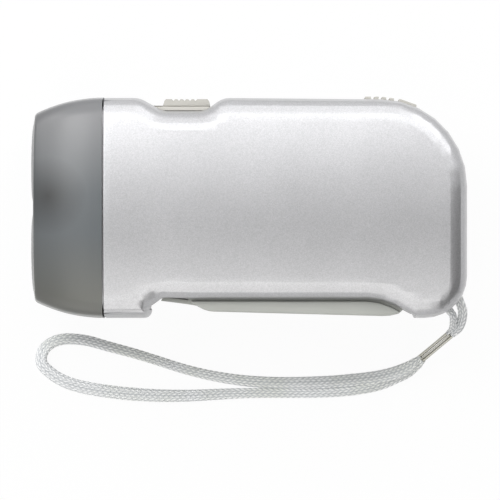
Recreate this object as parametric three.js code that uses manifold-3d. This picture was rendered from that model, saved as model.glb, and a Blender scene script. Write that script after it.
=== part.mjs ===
// A hand-squeezed dynamo torch, lying on its side as it does when its wrist strap is laid out beside it.
//
// X runs from the lamp (-X) to the tail (+X), Y from the squeeze lever (-Y) to the thumb switch (+Y), and Z
// up out of the surface that the torch lies on. The origin is on that surface, under the middle of the
// torch. All sizes are in millimetres. Inside the functions Z is counted from the plane where the two
// shells meet.

import * as THREE from "three";
import { mergeVertices } from "three/addons/utils/BufferGeometryUtils.js";
import Module from "manifold-3d";

const wasm = await Module();
wasm.setup();

// Play between pieces
const fitGap = 0.3; // between two pieces that stand face to face
const runGap = 0.12; // all round a shaft in its bore
const partingGap = 0.1; // between the two shells
const overrun = 6; // how far a cutter runs past what it cuts

// The torch as a whole
const torch = { length: 100.2, height: 50.8, thickness: 38 };

// The two shells: walls, rounded rim and the outline seen from the side
const shell = {
  wall: 1.8,
  rimRadius: 3.7,
  crown: 1, // bulge of the narrow faces between one rim and the other
  topFall: 0.5, // the top line drops this much from lamp to tail
  tailTopRadius: 20.1,
  tailRun: 20.5, // straight part of the tail
  tailBottomRadius: 9.7,
  sideBand: 6.4, // from the lever's slot to the side of the case
  pinBossRadius: 3.4,
  axleBossRadius: 2.4,
};
const head = {
  length: 16.9, frontNarrowing: 3.85, sideNarrowing: 3.2, wall: 1.6, frontRadius: 1.4, shoulder: 3.4,
};
const neck = { length: 5, wall: 1.6, play: 0.2, ring: 2 };
const switchDip = {
  start: 8, // behind the seam with the head
  fall: 5.3,
  floor: 9.6,
  rise: 4.1,
  depth: 3,
  outerRadius: 5,
  innerRadius: 4,
};
const chin = { length: 10.7, rise: 2.1, outerRadius: 1.8, innerRadius: 0.3, undercut: 0.4 };
const notch = { length: 2.8, rise: 4.1, radius: 2 }; // the finger notch behind the chin
const recess = { depth: 3.85, settle: 7, settleRadius: 14, slope: 7.4, bendRadius: 12.7 };
const foot = { length: 12.6, radius: 0.5 };

// The squeeze lever
const lever = {
  gripHalfWidth: 12.6,
  gripRim: 0.7,
  gripCrown: 0.2,
  gripGap: 0.5, // between the grip's upper edge and the shells' lower one
  gripFromPivot: 0.6,
  wallHalfWidth: 11.8,
  skin: 1.8,
  pivotFromSeam: 19.2,
  pivotFromBottom: 8.9,
  pinRadius: 1.5,
  pinHalfLength: 15.6,
  eyeRadius: 3.6,
  tipFromPivot: 6.2,
  tipRise: 4.1, // above the torch's lowest line, as are the rises that follow
  tipThickness: 0.8,
  kneeFromPivot: 3.9,
  kneeRise: 1.5,
  kneeRadius: 7,
  heelFromTail: 18,
  heelRise: 0.4,
  heelRadius: 10,
  endFromTail: 14.6,
  endRise: 1.4,
  endRadius: 0.6,
  wallEndFromTail: 14.8,
  wallRise: 8.2,
  wallRadius: 2,
  ribHeight: 2.4,
  ribWidth: 1.2,
};

// The toothed sector that the lever carries
const sector = {
  gauge: 1,
  teeth: 88, // on the full circle
  firstIndex: -2, // tooth spaces, counted from the one that holds the pinion at rest
  lastIndex: 8,
  thickness: 4,
  back: 3.2, // band behind the pitch line
  lowerAngle: -8, // degrees from +X
  footLength: 17,
  footHeight: 2.2,
  pegAngle: 40,
  pegHalfWidth: 1.1,
  pegHeight: 2.2,
};

// The gear train. Angles are in degrees from +X, and a gauge is the pitch diameter for each tooth.
const tooth = { pressureAngle: 25, addendum: 0.75, dedendum: 1.1, backlash: 0.16, fineTeeth: 20 };
const firstGear = { pinionTeeth: 9, gauge: 0.6, teeth: 42, thickness: 2, angle: 15, axleRadius: 1 };
const secondGear = { pinionTeeth: 10, gauge: 0.5, teeth: 40, thickness: 1.6, angle: 140, axleRadius: 0.9 };
const clutch = {
  pinionTeeth: 10, angle: 175, hubRadius: 3, reach: 5.6, pawlWidth: 1.2, pawls: 3, pawlAngle: 38,
};
const web = { rim: 1.9, hub: 3.9, depth: 0.5 };
const layerGap = 0.8;
const flywheel = {
  radius: 13,
  thickness: 5.4,
  gap: 0.6,
  collarRadius: 8.2,
  collarHeight: 2.8,
  ratchetRadius: 7.2,
  ratchetDepth: 0.9,
  ratchetTeeth: 12,
  axleRadius: 1,
  hubRadius: 2,
};
const weight = { width: 2.6, depth: 3.2, inset: 0.8 };
const magnet = { radius: 8, length: 7.4 };
const stator = {
  airGap: 0.6,
  clawThickness: 0.7,
  claws: 5,
  clawWidth: 2.4,
  ring: 4.6, // from the claws' inner faces to the outside
  height: 8,
  windingGap: 0.4,
  seatWidth: 1.6,
};

// Lamp
const lamp = {
  cupRadius: 9,
  cupBase: 3.4,
  cupWall: 0.9,
  flange: 1,
  cupGap: 0.15, // between a cup's rim and the inside of the head
  seatGap: 0.35,
  ledRadius: 2.5,
  ledLength: 7.4,
  ledFlangeRadius: 2.9,
  ledFlange: 1,
  boardThickness: 1.6,
  boardEdge: 1, // from the board to the inside of the neck
  boardHalfWidth: 11,
  lensRadius: 9,
  lensBulge: 0.6,
  lensRim: 0.35,
};

// Thumb switch
const knob = {
  length: 10.9,
  width: 9,
  fromSeam: 13.3,
  height: 2.6,
  edge: 0.4,
  leanShare: 0.8,
  flange: 2.9,
  flangeHeight: 1.1,
  ribs: 4,
  ribPitch: 1.27,
  ribDepth: 0.4,
  valleyShare: 0.3,
  ribsFrom: 2.4,
  travel: 3,
  stemLength: 2,
  stemWidth: 2.4,
  stemReach: 5,
};
const toggle = { length: 9, height: 4.6, width: 4.6, window: 1.4 };

// Lock slider
const lock = {
  length: 11.8,
  lead: 1.7, // how far the slider runs on in front of its finger
  width: 9,
  proud: 0.5,
  depth: 1.5,
  floor: 1.5,
  ribs: 4,
  ribPitch: 1.75,
  grooveWidth: 0.75,
  grooveDepth: 0.6,
  notchWidth: 1.2,
  travel: 2.6,
  stemLength: 2.4,
  stemThickness: 2.2,
  fingerHeight: 1.8,
};

// Electrics
const board = {
  thickness: 1.6, z: 0, frontFromSeam: 2.6, rearFromSeam: 18.4,
  fromTop: 13.4, height: 20.4, neckFromSeam: 10.8,
};
const cell = {
  radius: 5.7, length: 5.3, edge: 0.5, count: 3, fromSeam: 8.9,
  fromBoardEdge: 10.4, cradleWall: 1.1, cradleGap: 0.4,
};
const diode = { radius: 1.2, length: 4, pitch: 2.9, count: 4, fromSeam: 7.4, fromBoardEdge: 4.4 };
const capacitor = { radius: 2.5, length: 7, edge: 0.4, fromSeam: 9, fromBoardTop: 4 };
const wire = {
  radius: 0.55, sides: 6, steps: 12, lampSpread: 5, lampDrop: 6.8, coilReach: 3.4, coilSpread: 2,
};

// Fasteners
const screw = {
  radius: 1.1,
  headRadius: 2.4,
  headHeight: 1.4,
  length: 11,
  seat: 6,
  wall: 1.4,
  slotWidth: 0.7,
  slotDepth: 0.6,
  fromSeam: 5.7,
  fromEdge: 7.9,
  lowerFromTail: 7.1,
  upperFromTail: 9.6,
  tailFromEdge: 13.4,
};
const smallScrew = {
  radius: 0.8, headRadius: 1.7, headHeight: 1, length: 6, postRadius: 2.1, fromCorner: 2.2,
};
const spring = {
  wire: 0.45,
  radius: 2.9,
  turns: 4,
  gap: 0.35,
  steps: 8,
  sides: 5,
  leg: 10,
  legAngle: -12,
  backLeg: 7.5,
  legSlot: 2.6,
  stopRadius: 1.6,
  stopTop: 3,
};

// Strap and the post that it is tied round
const post = {
  radius: 0.9, halfLength: 6, fromArc: 7.9, angle: -42, grooveRadius: 3.7, grooveHalf: 2.1, bossRadius: 2.4,
};
const strap = { width: 2.6, thickness: 1.3, steps: 66, lugSteps: 24, lugWidth: 1.9, lugThickness: 1.1 };
const ferrule = { width: 2.5, thickness: 3, corner: 0.9, pinch: 0.3 };

// How a change of an outer size reaches the pieces. The lengths above add up to a torch of the usual size.
// Places along the torch follow its length, those across it its height and those through it its thickness.
// Everything round, and what touches it, follows the least of the three.
const usual = {
  length:
    head.length + lever.pivotFromSeam + (sector.gauge * sector.teeth) / 2 + sector.back +
    fitGap + lever.skin + lever.wallEndFromTail,
  height: shell.topFall + shell.tailTopRadius + shell.tailRun + shell.tailBottomRadius,
  thickness: (lever.gripHalfWidth + shell.sideBand) * 2,
};
const along = torch.length / usual.length;
const across = torch.height / usual.height;
const through = torch.thickness / usual.thickness;
const least = Math.min(along, across, through);
const follow = (share, block, names) => names.split(" ").forEach((name) => (block[name] *= share));
follow(
  least,
  shell,
  "wall rimRadius crown topFall tailTopRadius tailBottomRadius pinBossRadius axleBossRadius",
);
follow(along, head, "length");
follow(least, head, "frontNarrowing sideNarrowing wall frontRadius shoulder");
follow(least, neck, "length wall ring");
follow(along, switchDip, "start fall floor rise");
follow(least, switchDip, "depth outerRadius innerRadius");
follow(along, chin, "length");
follow(least, chin, "rise outerRadius innerRadius undercut");
follow(along, notch, "length");
follow(least, notch, "rise radius");
follow(along, recess, "settle slope");
follow(least, recess, "depth settleRadius bendRadius");
follow(along, foot, "length");
follow(least, foot, "radius");
follow(
  along,
  lever,
  "gripFromPivot pivotFromSeam tipFromPivot kneeFromPivot heelFromTail endFromTail wallEndFromTail",
);
follow(through, lever, "gripHalfWidth wallHalfWidth pinHalfLength");
follow(
  least,
  lever,
  "gripRim gripCrown skin pivotFromBottom pinRadius eyeRadius tipRise tipThickness kneeRise kneeRadius",
);
follow(least, lever, "heelRise heelRadius endRise endRadius wallRise wallRadius ribHeight ribWidth");
follow(least, sector, "gauge thickness back footLength footHeight pegHalfWidth pegHeight");
follow(least, firstGear, "gauge thickness axleRadius");
follow(least, secondGear, "gauge thickness axleRadius");
follow(least, clutch, "hubRadius reach pawlWidth");
follow(least, web, "rim hub depth");
follow(
  least,
  flywheel,
  "radius thickness collarRadius collarHeight ratchetRadius ratchetDepth axleRadius hubRadius",
);
follow(least, weight, "width depth inset");
follow(least, magnet, "radius length");
follow(least, stator, "airGap clawThickness clawWidth ring height windingGap seatWidth");
follow(through, lamp, "boardHalfWidth");
follow(
  least,
  lamp,
  "cupRadius cupBase cupWall flange ledRadius ledLength ledFlangeRadius ledFlange boardThickness",
);
follow(least, lamp, "lensRadius lensBulge lensRim");
follow(along, knob, "fromSeam");
follow(least, knob, "length width height edge flange flangeHeight ribPitch ribDepth ribsFrom travel");
follow(least, knob, "stemLength stemWidth stemReach");
follow(least, toggle, "length height width window");
follow(least, lock, "length lead width proud depth floor ribPitch grooveWidth grooveDepth notchWidth travel");
follow(least, lock, "stemLength stemThickness fingerHeight");
follow(along, board, "frontFromSeam rearFromSeam neckFromSeam");
follow(across, board, "fromTop height");
follow(least, board, "thickness");
follow(along, cell, "fromSeam");
follow(across, cell, "fromBoardEdge");
follow(least, cell, "radius length edge cradleWall");
follow(along, diode, "fromSeam");
follow(across, diode, "fromBoardEdge");
follow(least, diode, "radius length pitch");
follow(along, capacitor, "fromSeam");
follow(across, capacitor, "fromBoardTop");
follow(least, capacitor, "radius length edge");
follow(least, wire, "radius lampSpread lampDrop coilReach coilSpread");
follow(along, screw, "fromSeam lowerFromTail upperFromTail");
follow(
  least,
  screw,
  "radius headRadius headHeight length seat wall slotWidth slotDepth fromEdge tailFromEdge",
);
follow(least, smallScrew, "radius headRadius headHeight length postRadius fromCorner");
follow(least, spring, "wire radius gap leg backLeg legSlot stopRadius stopTop");
follow(least, post, "radius halfLength fromArc grooveRadius grooveHalf bossRadius");
follow(least, strap, "width thickness lugWidth lugThickness");
follow(least, ferrule, "width thickness corner");

// Places that follow from the sizes above
const half = torch.thickness / 2;
const top = torch.height / 2;
const bottom = -top;
const tail = torch.length / 2;
const seam = -tail + head.length;
const radians = THREE.MathUtils.degToRad;
const degrees = THREE.MathUtils.radToDeg;
const fullTurn = 360;
const quarterTurn = fullTurn / 4;
const towards = (from, distance, angle) => ({
  x: from.x + distance * Math.cos(radians(angle)),
  y: from.y + distance * Math.sin(radians(angle)),
});
const pitch = (gauge, teeth) => (gauge * teeth) / 2;
const pivot = { x: seam + lever.pivotFromSeam, y: bottom + lever.pivotFromBottom };
const sectorPitch = pitch(sector.gauge, sector.teeth);
const firstAxis = towards(pivot, sectorPitch - pitch(sector.gauge, firstGear.pinionTeeth), firstGear.angle);
const secondAxis = towards(
  firstAxis,
  pitch(firstGear.gauge, firstGear.teeth + secondGear.pinionTeeth),
  secondGear.angle,
);
const rotorAxis = towards(
  secondAxis,
  pitch(secondGear.gauge, secondGear.teeth + clutch.pinionTeeth),
  clutch.angle,
);
const sectorTop = sector.thickness / 2;
const firstWheel = { z0: sectorTop + layerGap, z1: sectorTop + layerGap + firstGear.thickness };
const secondWheel = { z0: firstWheel.z1 + layerGap, z1: firstWheel.z1 + layerGap + secondGear.thickness };
const discZ = { z0: firstWheel.z0 - flywheel.gap - flywheel.thickness, z1: firstWheel.z0 - flywheel.gap };
const collarTop = discZ.z1 + flywheel.collarHeight;
const clawInner = magnet.radius + stator.airGap;
const clawOuter = clawInner + stator.clawThickness;
const statorOuter = clawInner + stator.ring;
const statorZ = { z0: discZ.z0 - flywheel.gap - stator.height, z1: discZ.z0 - flywheel.gap };
const tailArc = { x: tail - shell.tailBottomRadius, y: bottom + shell.tailBottomRadius };
const postAt = towards(tailArc, post.fromArc, post.angle);
const recessY = bottom + recess.depth;
const innerFace = half - shell.wall;
const springRise = spring.wire * 2 + spring.gap;
const screwsAt = [
  { x: seam + screw.fromSeam, y: top - screw.fromEdge },
  { x: seam + screw.fromSeam, y: bottom + screw.fromEdge },
  { x: tail - screw.lowerFromTail, y: bottom + screw.tailFromEdge },
  { x: tail - screw.upperFromTail, y: top - screw.tailFromEdge },
];

// Solids
function toSolid(geometry) {
  const bare = new THREE.BufferGeometry();
  bare.setAttribute("position", geometry.getAttribute("position").clone());
  bare.setIndex(geometry.index ? geometry.index.clone() : null);
  const merged = mergeVertices(bare, 1e-4);
  return new wasm.Manifold(
    new wasm.Mesh({
      numProp: 3,
      vertProperties: new Float32Array(merged.attributes.position.array),
      triVerts: new Uint32Array(merged.index.array),
    }),
  );
}

function toGeometry(solid) {
  const made = solid.getMesh();
  const positions = new Float32Array(made.numVert * 3);
  for (let i = 0; i < made.numVert; i++) {
    positions.set(made.vertProperties.subarray(i * made.numProp, i * made.numProp + 3), i * 3);
  }
  const geometry = new THREE.BufferGeometry();
  geometry.setAttribute("position", new THREE.BufferAttribute(positions, 3));
  geometry.setIndex(new THREE.BufferAttribute(new Uint32Array(made.triVerts), 1));
  geometry.computeVertexNormals();
  return geometry;
}

const join = (...solids) => solids.reduce((a, b) => a.add(b));
const cut = (from, ...cutters) => cutters.reduce((a, b) => a.subtract(b), from);

// The same geometry reflected in the plane where the shells meet, with its faces turned to suit.
function mirrored(geometry) {
  const flipped = geometry.index ? geometry.toNonIndexed() : geometry.clone();
  const p = flipped.attributes.position;
  for (let i = 0; i < p.count; i += 3) {
    const [x, y, z] = [p.getX(i + 1), p.getY(i + 1), p.getZ(i + 1)];
    p.setXYZ(i + 1, p.getX(i + 2), p.getY(i + 2), p.getZ(i + 2));
    p.setXYZ(i + 2, x, y, z);
  }
  const q = new THREE.BufferGeometry();
  q.setAttribute("position", p);
  return q.applyMatrix4(new THREE.Matrix4().makeScale(1, 1, -1));
}

function prismGeometry(points, z0, z1, holes = []) {
  const shape = new THREE.Shape(points.map((p) => new THREE.Vector2(p.x, p.y)));
  holes.forEach((h) => shape.holes.push(new THREE.Path(h.map((p) => new THREE.Vector2(p.x, p.y)))));
  return new THREE.ExtrudeGeometry(shape, { depth: z1 - z0, bevelEnabled: false, steps: 1 }).translate(0, 0, z0);
}
const prism = (points, z0, z1, holes) => toSolid(prismGeometry(points, z0, z1, holes));

const box = (x0, x1, y0, y1, z0, z1) =>
  toSolid(new THREE.BoxGeometry(x1 - x0, y1 - y0, z1 - z0).translate((x0 + x1) / 2, (y0 + y1) / 2, (z0 + z1) / 2));

const circle = (at, radius, sides, from = 0) =>
  Array.from({ length: sides }, (_, i) => {
    const a = from + (i / sides) * Math.PI * 2;
    return { x: at.x + radius * Math.cos(a), y: at.y + radius * Math.sin(a) };
  });
// A round bar between two heights, and a bore whose flats lie at the stated radius.
const rod = (at, radius, z0, z1, sides = 16) => prism(circle(at, radius, sides), z0, z1);
const bore = (at, radius, z0, z1, sides = 16) => rod(at, radius / Math.cos(Math.PI / sides), z0, z1, sides);

// A body of revolution about the Z axis through a point, from a profile of [radius, z] pairs.
function turned(at, profile, sides = 32) {
  const points = profile.map(([r, z]) => new THREE.Vector2(r, z));
  const geometry = new THREE.LatheGeometry(points, sides).rotateX(Math.PI / 2).translate(at.x, at.y, 0);
  const solid = toSolid(geometry);
  return solid.volume() < 0 ? toSolid(reversed(geometry)) : solid;
}

function reversed(geometry) {
  const g = geometry.toNonIndexed();
  const p = g.attributes.position;
  for (let i = 0; i < p.count; i += 3) {
    const [x, y, z] = [p.getX(i + 1), p.getY(i + 1), p.getZ(i + 1)];
    p.setXYZ(i + 1, p.getX(i + 2), p.getY(i + 2), p.getZ(i + 2));
    p.setXYZ(i + 2, x, y, z);
  }
  return g;
}

// A closed outline from corners {x, y, r}: each corner is rounded to its radius r.
function rounded(corners, turnPerStep = 14) {
  const points = [];
  corners.forEach((corner, i) => {
    const before = corners[(i + corners.length - 1) % corners.length];
    const after = corners[(i + 1) % corners.length];
    const here = new THREE.Vector2(corner.x, corner.y);
    const back = new THREE.Vector2(before.x, before.y).sub(here).normalize();
    const on = new THREE.Vector2(after.x, after.y).sub(here).normalize();
    const opening = Math.acos(THREE.MathUtils.clamp(back.dot(on), -1, 1));
    const turn = Math.PI - opening;
    if (!corner.r || turn < 1e-3) {
      points.push(here);
      return;
    }
    const centre = here.clone().add(
      back.clone().add(on).normalize().multiplyScalar(corner.r / Math.sin(opening / 2)),
    );
    const first = here.clone().addScaledVector(back, corner.r / Math.tan(opening / 2));
    const side = Math.sign(back.x * on.y - back.y * on.x);
    const steps = Math.max(1, Math.ceil(degrees(turn) / turnPerStep));
    const start = first.clone().sub(centre);
    for (let k = 0; k <= steps; k++) {
      points.push(start.clone().rotateAround(new THREE.Vector2(), (-side * turn * k) / steps).add(centre));
    }
  });
  return points;
}

// The outline moved inwards. Stretches that the move swallows are dropped and their neighbours are met again.
function inset(outline, distance) {
  const n = outline.length;
  const line = outline.map((p, i) => ({ p, i }));
  if (distance === 0) {
    return line.map(({ p, i }) => ({ x: p.x, y: p.y, t: i }));
  }
  const edge = (i) => outline[(i + 1) % n].clone().sub(outline[i % n]).normalize();
  const moved = line.map(({ p, i }) => {
    const a = edge((i + n - 1) % n);
    const b = edge(i);
    const normal = new THREE.Vector2(-a.y - b.y, a.x + b.x).normalize();
    const share = normal.x * -b.y + normal.y * b.x;
    return p.clone().addScaledVector(normal, distance / share);
  });
  const away = (q) =>
    outline.reduce((least, a, i) => {
      const b = outline[(i + 1) % n];
      const d = b.clone().sub(a);
      const t = THREE.MathUtils.clamp(q.clone().sub(a).dot(d) / d.lengthSq(), 0, 1);
      return Math.min(least, q.distanceTo(a.clone().addScaledVector(d, t)));
    }, Infinity);
  const kept = moved.map((q) => away(q) > distance * (1 - 1e-3));
  const loop = [];
  for (let i = 0; i < n; i++) {
    if (!kept[i]) {
      continue;
    }
    loop.push({ x: moved[i].x, y: moved[i].y, t: i });
    let next = i + 1;
    while (!kept[next % n]) {
      next++;
    }
    if (next > i + 1) {
      const meet = crossing(moved[i], moved[(i + 1) % n], moved[(next - 1) % n], moved[next % n]);
      if (meet) {
        loop.push({ x: meet.x, y: meet.y, t: (i + next) / 2 });
      }
    }
  }
  return loop;
}

function crossing(a, b, c, d) {
  const u = b.clone().sub(a);
  const v = d.clone().sub(c);
  const span = u.x * v.y - u.y * v.x;
  if (Math.abs(span) < 1e-9) {
    return null;
  }
  const w = c.clone().sub(a);
  const s = (w.x * v.y - w.y * v.x) / span;
  const t = (w.x * u.y - w.y * u.x) / span;
  return s > 0 && s < 1 && t > 0 && t < 1 ? a.clone().addScaledVector(u, s) : null;
}

// A solid between two faces whose section shrinks with height: one inset loop of the outline at each level.
function pillowGeometry(outline, levels) {
  const positions = [];
  const index = [];
  const loops = levels.map(({ z, d }) =>
    inset(outline, d).map((p) => {
      positions.push(p.x, p.y, z);
      return { ...p, v: positions.length / 3 - 1 };
    }),
  );
  for (let k = 0; k + 1 < loops.length; k++) {
    const [low, high] = [loops[k], loops[k + 1]];
    let i = 0;
    let j = 0;
    while (i < low.length || j < high.length) {
      const a = low[i % low.length];
      const b = high[j % high.length];
      const nextA =
        i < low.length ? low[(i + 1) % low.length].t + (i + 1 >= low.length ? outline.length : 0) : Infinity;
      const nextB =
        j < high.length ? high[(j + 1) % high.length].t + (j + 1 >= high.length ? outline.length : 0) : Infinity;
      if (nextA <= nextB) {
        index.push(a.v, low[(i + 1) % low.length].v, b.v);
        i++;
      } else {
        index.push(a.v, high[(j + 1) % high.length].v, b.v);
        j++;
      }
    }
  }
  const cap = (loop, up) => {
    const flat = loop.map((p) => new THREE.Vector2(p.x, p.y));
    THREE.ShapeUtils.triangulateShape(flat, []).forEach(([a, b, c]) => {
      index.push(loop[a].v, loop[up ? b : c].v, loop[up ? c : b].v);
    });
  };
  cap(loops[0], false);
  cap(loops[loops.length - 1], true);
  const geometry = new THREE.BufferGeometry();
  geometry.setAttribute("position", new THREE.Float32BufferAttribute(positions, 3));
  geometry.setIndex(index);
  return geometry;
}

// How far the surface has come in from the outline at each height: a crowned narrow face, then a rounded rim.
function rimLevels(halfWidth, crown, radius, crownSteps, rimSteps) {
  let reach = halfWidth - radius;
  let lean = 0;
  for (let pass = 0; pass < 6; pass++) {
    lean = Math.atan((2 * crown) / reach);
    reach = halfWidth - radius * (1 - Math.sin(lean));
  }
  const levels = [];
  for (let k = 0; k <= crownSteps; k++) {
    const z = (reach * k) / crownSteps;
    levels.push({ z, d: crown * (z / reach) ** 2 });
  }
  for (let k = 1; k <= rimSteps; k++) {
    const a = lean + ((Math.PI / 2 - lean) * k) / rimSteps;
    levels.push({
      z: reach + radius * (Math.sin(a) - Math.sin(lean)),
      d: crown + radius * (Math.cos(lean) - Math.cos(a)),
    });
  }
  return levels;
}

// The side outline of the shells, run on past the seam so that the seam can be cut square.
const frontRun = seam - neck.length - overrun * 2;
const dipY = top - switchDip.depth;
const chinEnd = seam + chin.length;
const notchEnd = chinEnd + notch.length;
const slopeFrom = tail - foot.length - recess.slope;
const dipX = [0, switchDip.fall, switchDip.floor, switchDip.rise].reduce(
  (places, run) => [...places, places[places.length - 1] + run],
  [seam + switchDip.start],
).slice(1);
const outline = rounded([
  { x: frontRun, y: bottom, r: 0 },
  { x: chinEnd, y: bottom, r: chin.outerRadius },
  { x: chinEnd, y: bottom + chin.rise, r: chin.innerRadius },
  { x: notchEnd, y: bottom + notch.rise, r: notch.radius },
  { x: notchEnd + recess.settle, y: recessY, r: recess.settleRadius },
  { x: slopeFrom, y: recessY, r: recess.bendRadius },
  { x: tail - foot.length, y: bottom, r: foot.radius },
  { x: tail, y: bottom, r: shell.tailBottomRadius },
  { x: tail, y: top - shell.topFall, r: shell.tailTopRadius },
  { x: dipX[3], y: top, r: switchDip.outerRadius },
  { x: dipX[2], y: dipY, r: switchDip.innerRadius },
  { x: dipX[1], y: dipY, r: switchDip.innerRadius },
  { x: dipX[0], y: top, r: switchDip.outerRadius },
  { x: frontRun, y: top, r: 0 },
]);
const asVectors = (loop) => loop.map((p) => new THREE.Vector2(p.x, p.y));

// A full-width solid, from one inset of the shell outline, of the thickness that goes with it.
function slab(depth, crownSteps, rimSteps) {
  const radius = Math.max(shell.rimRadius - depth, shell.wall / 2);
  const levels = rimLevels(half - depth, shell.crown, radius, crownSteps, rimSteps);
  const upper = toSolid(pillowGeometry(asVectors(inset(outline, depth)), levels));
  return join(upper, toSolid(mirrored(toGeometry(upper))));
}

const neckOuter = head.wall + neck.play;
const neckInner = neckOuter + neck.wall;
const ringEnd = seam + neck.ring;
const before = (x) =>
  box(frontRun - overrun, x, bottom - overrun, top + overrun, -half - overrun, half + overrun);
const beyond = (x) =>
  box(x, tail + overrun, bottom - overrun, top + overrun, -half - overrun, half + overrun);

function caseBody() {
  const outer = cut(slab(0, 2, 4), before(seam));
  const neckTube = cut(slab(neckOuter, 1, 2), before(seam - neck.length), beyond(ringEnd));
  const cavity = join(
    cut(slab(shell.wall, 1, 2), before(ringEnd)),
    cut(slab(neckInner, 1, 2), beyond(ringEnd + fitGap)),
  );
  return { outer, walls: join(cut(outer, cavity), cut(neckTube, cavity)) };
}

// Everything that the two shells share: openings, pockets and the slot for the strap.
function caseOpenings() {
  const leverWay = lever.gripHalfWidth + fitGap;
  const slotEnd = tail - foot.length + foot.radius;
  const slotTop = recessY + shell.wall * 2;
  const leverSlot = prism(
    [
      { x: chinEnd, y: bottom - overrun },
      { x: slotEnd, y: bottom - overrun },
      { x: slotEnd, y: slotTop },
      { x: chinEnd - chin.undercut, y: slotTop },
      { x: chinEnd - chin.undercut, y: bottom + chin.rise },
      { x: chinEnd, y: bottom + chin.outerRadius },
    ],
    -leverWay,
    leverWay,
  );
  const knobX = seam + knob.fromSeam;
  const knobHalf = knob.width / 2 + fitGap;
  const knobPocket = box(
    knobX - knob.flange - knob.travel - fitGap,
    knobX + knob.length + fitGap,
    dipY - fitGap,
    top + overrun,
    -knobHalf,
    knobHalf,
  );
  const stem = knobStem();
  const stemSlot = box(
    stem.x0 - knob.travel - fitGap,
    stem.x1 + fitGap,
    dipY - overrun,
    top,
    -knob.stemWidth / 2 - fitGap,
    knob.stemWidth / 2 + fitGap,
  );
  const strapSlot = rod(postAt, post.grooveRadius, -post.grooveHalf, post.grooveHalf, 20);
  return [leverSlot, knobPocket, stemSlot, strapSlot];
}

function knobStem() {
  const middle = seam + knob.fromSeam + knob.length / 2;
  return { x0: middle - knob.stemLength / 2, x1: middle + knob.stemLength / 2 };
}

// The pocket and slot of the lock slider follow the outline of the case, so they are cut by its own insets.
const lockBottom = top - lock.depth - shell.topFall;
const pegRadius = sectorPitch + sector.back + sector.pegHeight;
const pegTop = towards(pivot, sectorPitch + sector.back, sector.pegAngle);
const finger = {};
finger.y1 =
  pivot.y +
  (sectorPitch + sector.back) * Math.sin(radians(sector.pegAngle)) -
  sector.pegHalfWidth * 2 -
  fitGap;
finger.y0 = finger.y1 - lock.fingerHeight;
finger.x0 = pivot.x + Math.sqrt(pegRadius ** 2 - (finger.y0 - pivot.y) ** 2) + fitGap;
finger.x1 = finger.x0 + lock.stemLength;
const lockX = { x0: finger.x0 - lock.lead, x1: finger.x0 - lock.lead + lock.length };

const slabOutline = (depth, side) => prism(inset(outline, depth), -side, side);
const lockSide = lock.width / 2 + fitGap;
const lockReach = { x0: lockX.x0 - lock.travel - fitGap, x1: lockX.x1 + fitGap };

function lockOpenings() {
  const floor = slabOutline(lock.depth + fitGap, lockSide * 2);
  const sweptFloor = floor.intersect(floor.translate([-lock.travel, 0, 0]));
  const pocket = cut(box(lockReach.x0, lockReach.x1, 0, top + overrun, -lockSide, lockSide), sweptFloor);
  const slotSide = lock.stemThickness / 2 + fitGap;
  const slot = box(
    finger.x0 - lock.travel - fitGap,
    finger.x1 + fitGap,
    finger.y1,
    top + overrun,
    -slotSide,
    slotSide,
  );
  return [pocket, slot];
}

// A pad inside the shells that floors the pocket.
function lockPad() {
  const side = lockSide + lock.floor;
  const blank = cut(
    slabOutline(shell.wall / 2, side),
    slabOutline(lock.depth + fitGap + lock.floor * 2, side * 2),
  );
  return blank.intersect(box(lockReach.x0 - lock.floor, lockReach.x1 + lock.floor, 0, top, -side, side));
}

// Bosses, posts and rings that stand up from the inside of one shell, and the bores in them.
function lowerFittings() {
  const floor = -innerFace - shell.wall / 2;
  const solids = [];
  const bores = [];
  screwsAt.forEach((at) => {
    solids.push(rod(at, screw.headRadius + fitGap + screw.wall, floor, -partingGap / 2, 14));
    bores.push(bore(at, screw.headRadius + fitGap, -half - overrun, -screw.seat, 14));
    bores.push(bore(at, screw.radius + fitGap, -half - overrun, overrun, 10));
  });
  solids.push(rod(pivot, shell.pinBossRadius, floor, -lever.wallHalfWidth - fitGap, 14));
  bores.push(bore(pivot, lever.pinRadius + runGap, -lever.pinHalfLength - fitGap, overrun, 14));
  solids.push(rod(firstAxis, shell.axleBossRadius, floor, -sectorTop - fitGap * 2, 14));
  bores.push(bore(firstAxis, firstGear.axleRadius + runGap, -innerFace + fitGap, overrun, 12));
  solids.push(rod(rotorAxis, shell.axleBossRadius, floor, statorZ.z0 - fitGap, 14));
  bores.push(bore(rotorAxis, flywheel.axleRadius + runGap, -innerFace + fitGap, overrun, 12));
  const seatOuter = rod(rotorAxis, statorOuter - fitGap, floor, statorZ.z0 - fitGap, 22);
  const seatInner = rod(rotorAxis, statorOuter - fitGap - stator.seatWidth, floor - overrun, overrun, 22);
  solids.push(cut(seatOuter, seatInner));
  const cradle = cell.radius + cell.cradleGap;
  const cradleTop = board.z - cell.length;
  solids.push(
    cut(
      rod(cellAt, cradle + cell.cradleWall, floor, cradleTop, 18),
      bore(cellAt, cradle, floor - overrun, overrun, 18),
    ),
  );
  boardScrewsAt.forEach((at) => {
    solids.push(rod(at, smallScrew.postRadius, floor, board.z - fitGap, 14));
    bores.push(bore(at, smallScrew.radius + fitGap, board.z - smallScrew.length - fitGap * 2, overrun, 12));
  });
  solids.push(rod(springStop, spring.stopRadius, floor, springTop, 12));
  solids.push(...postBosses(-1), lockPad());
  return { solids, bores };
}

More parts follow.
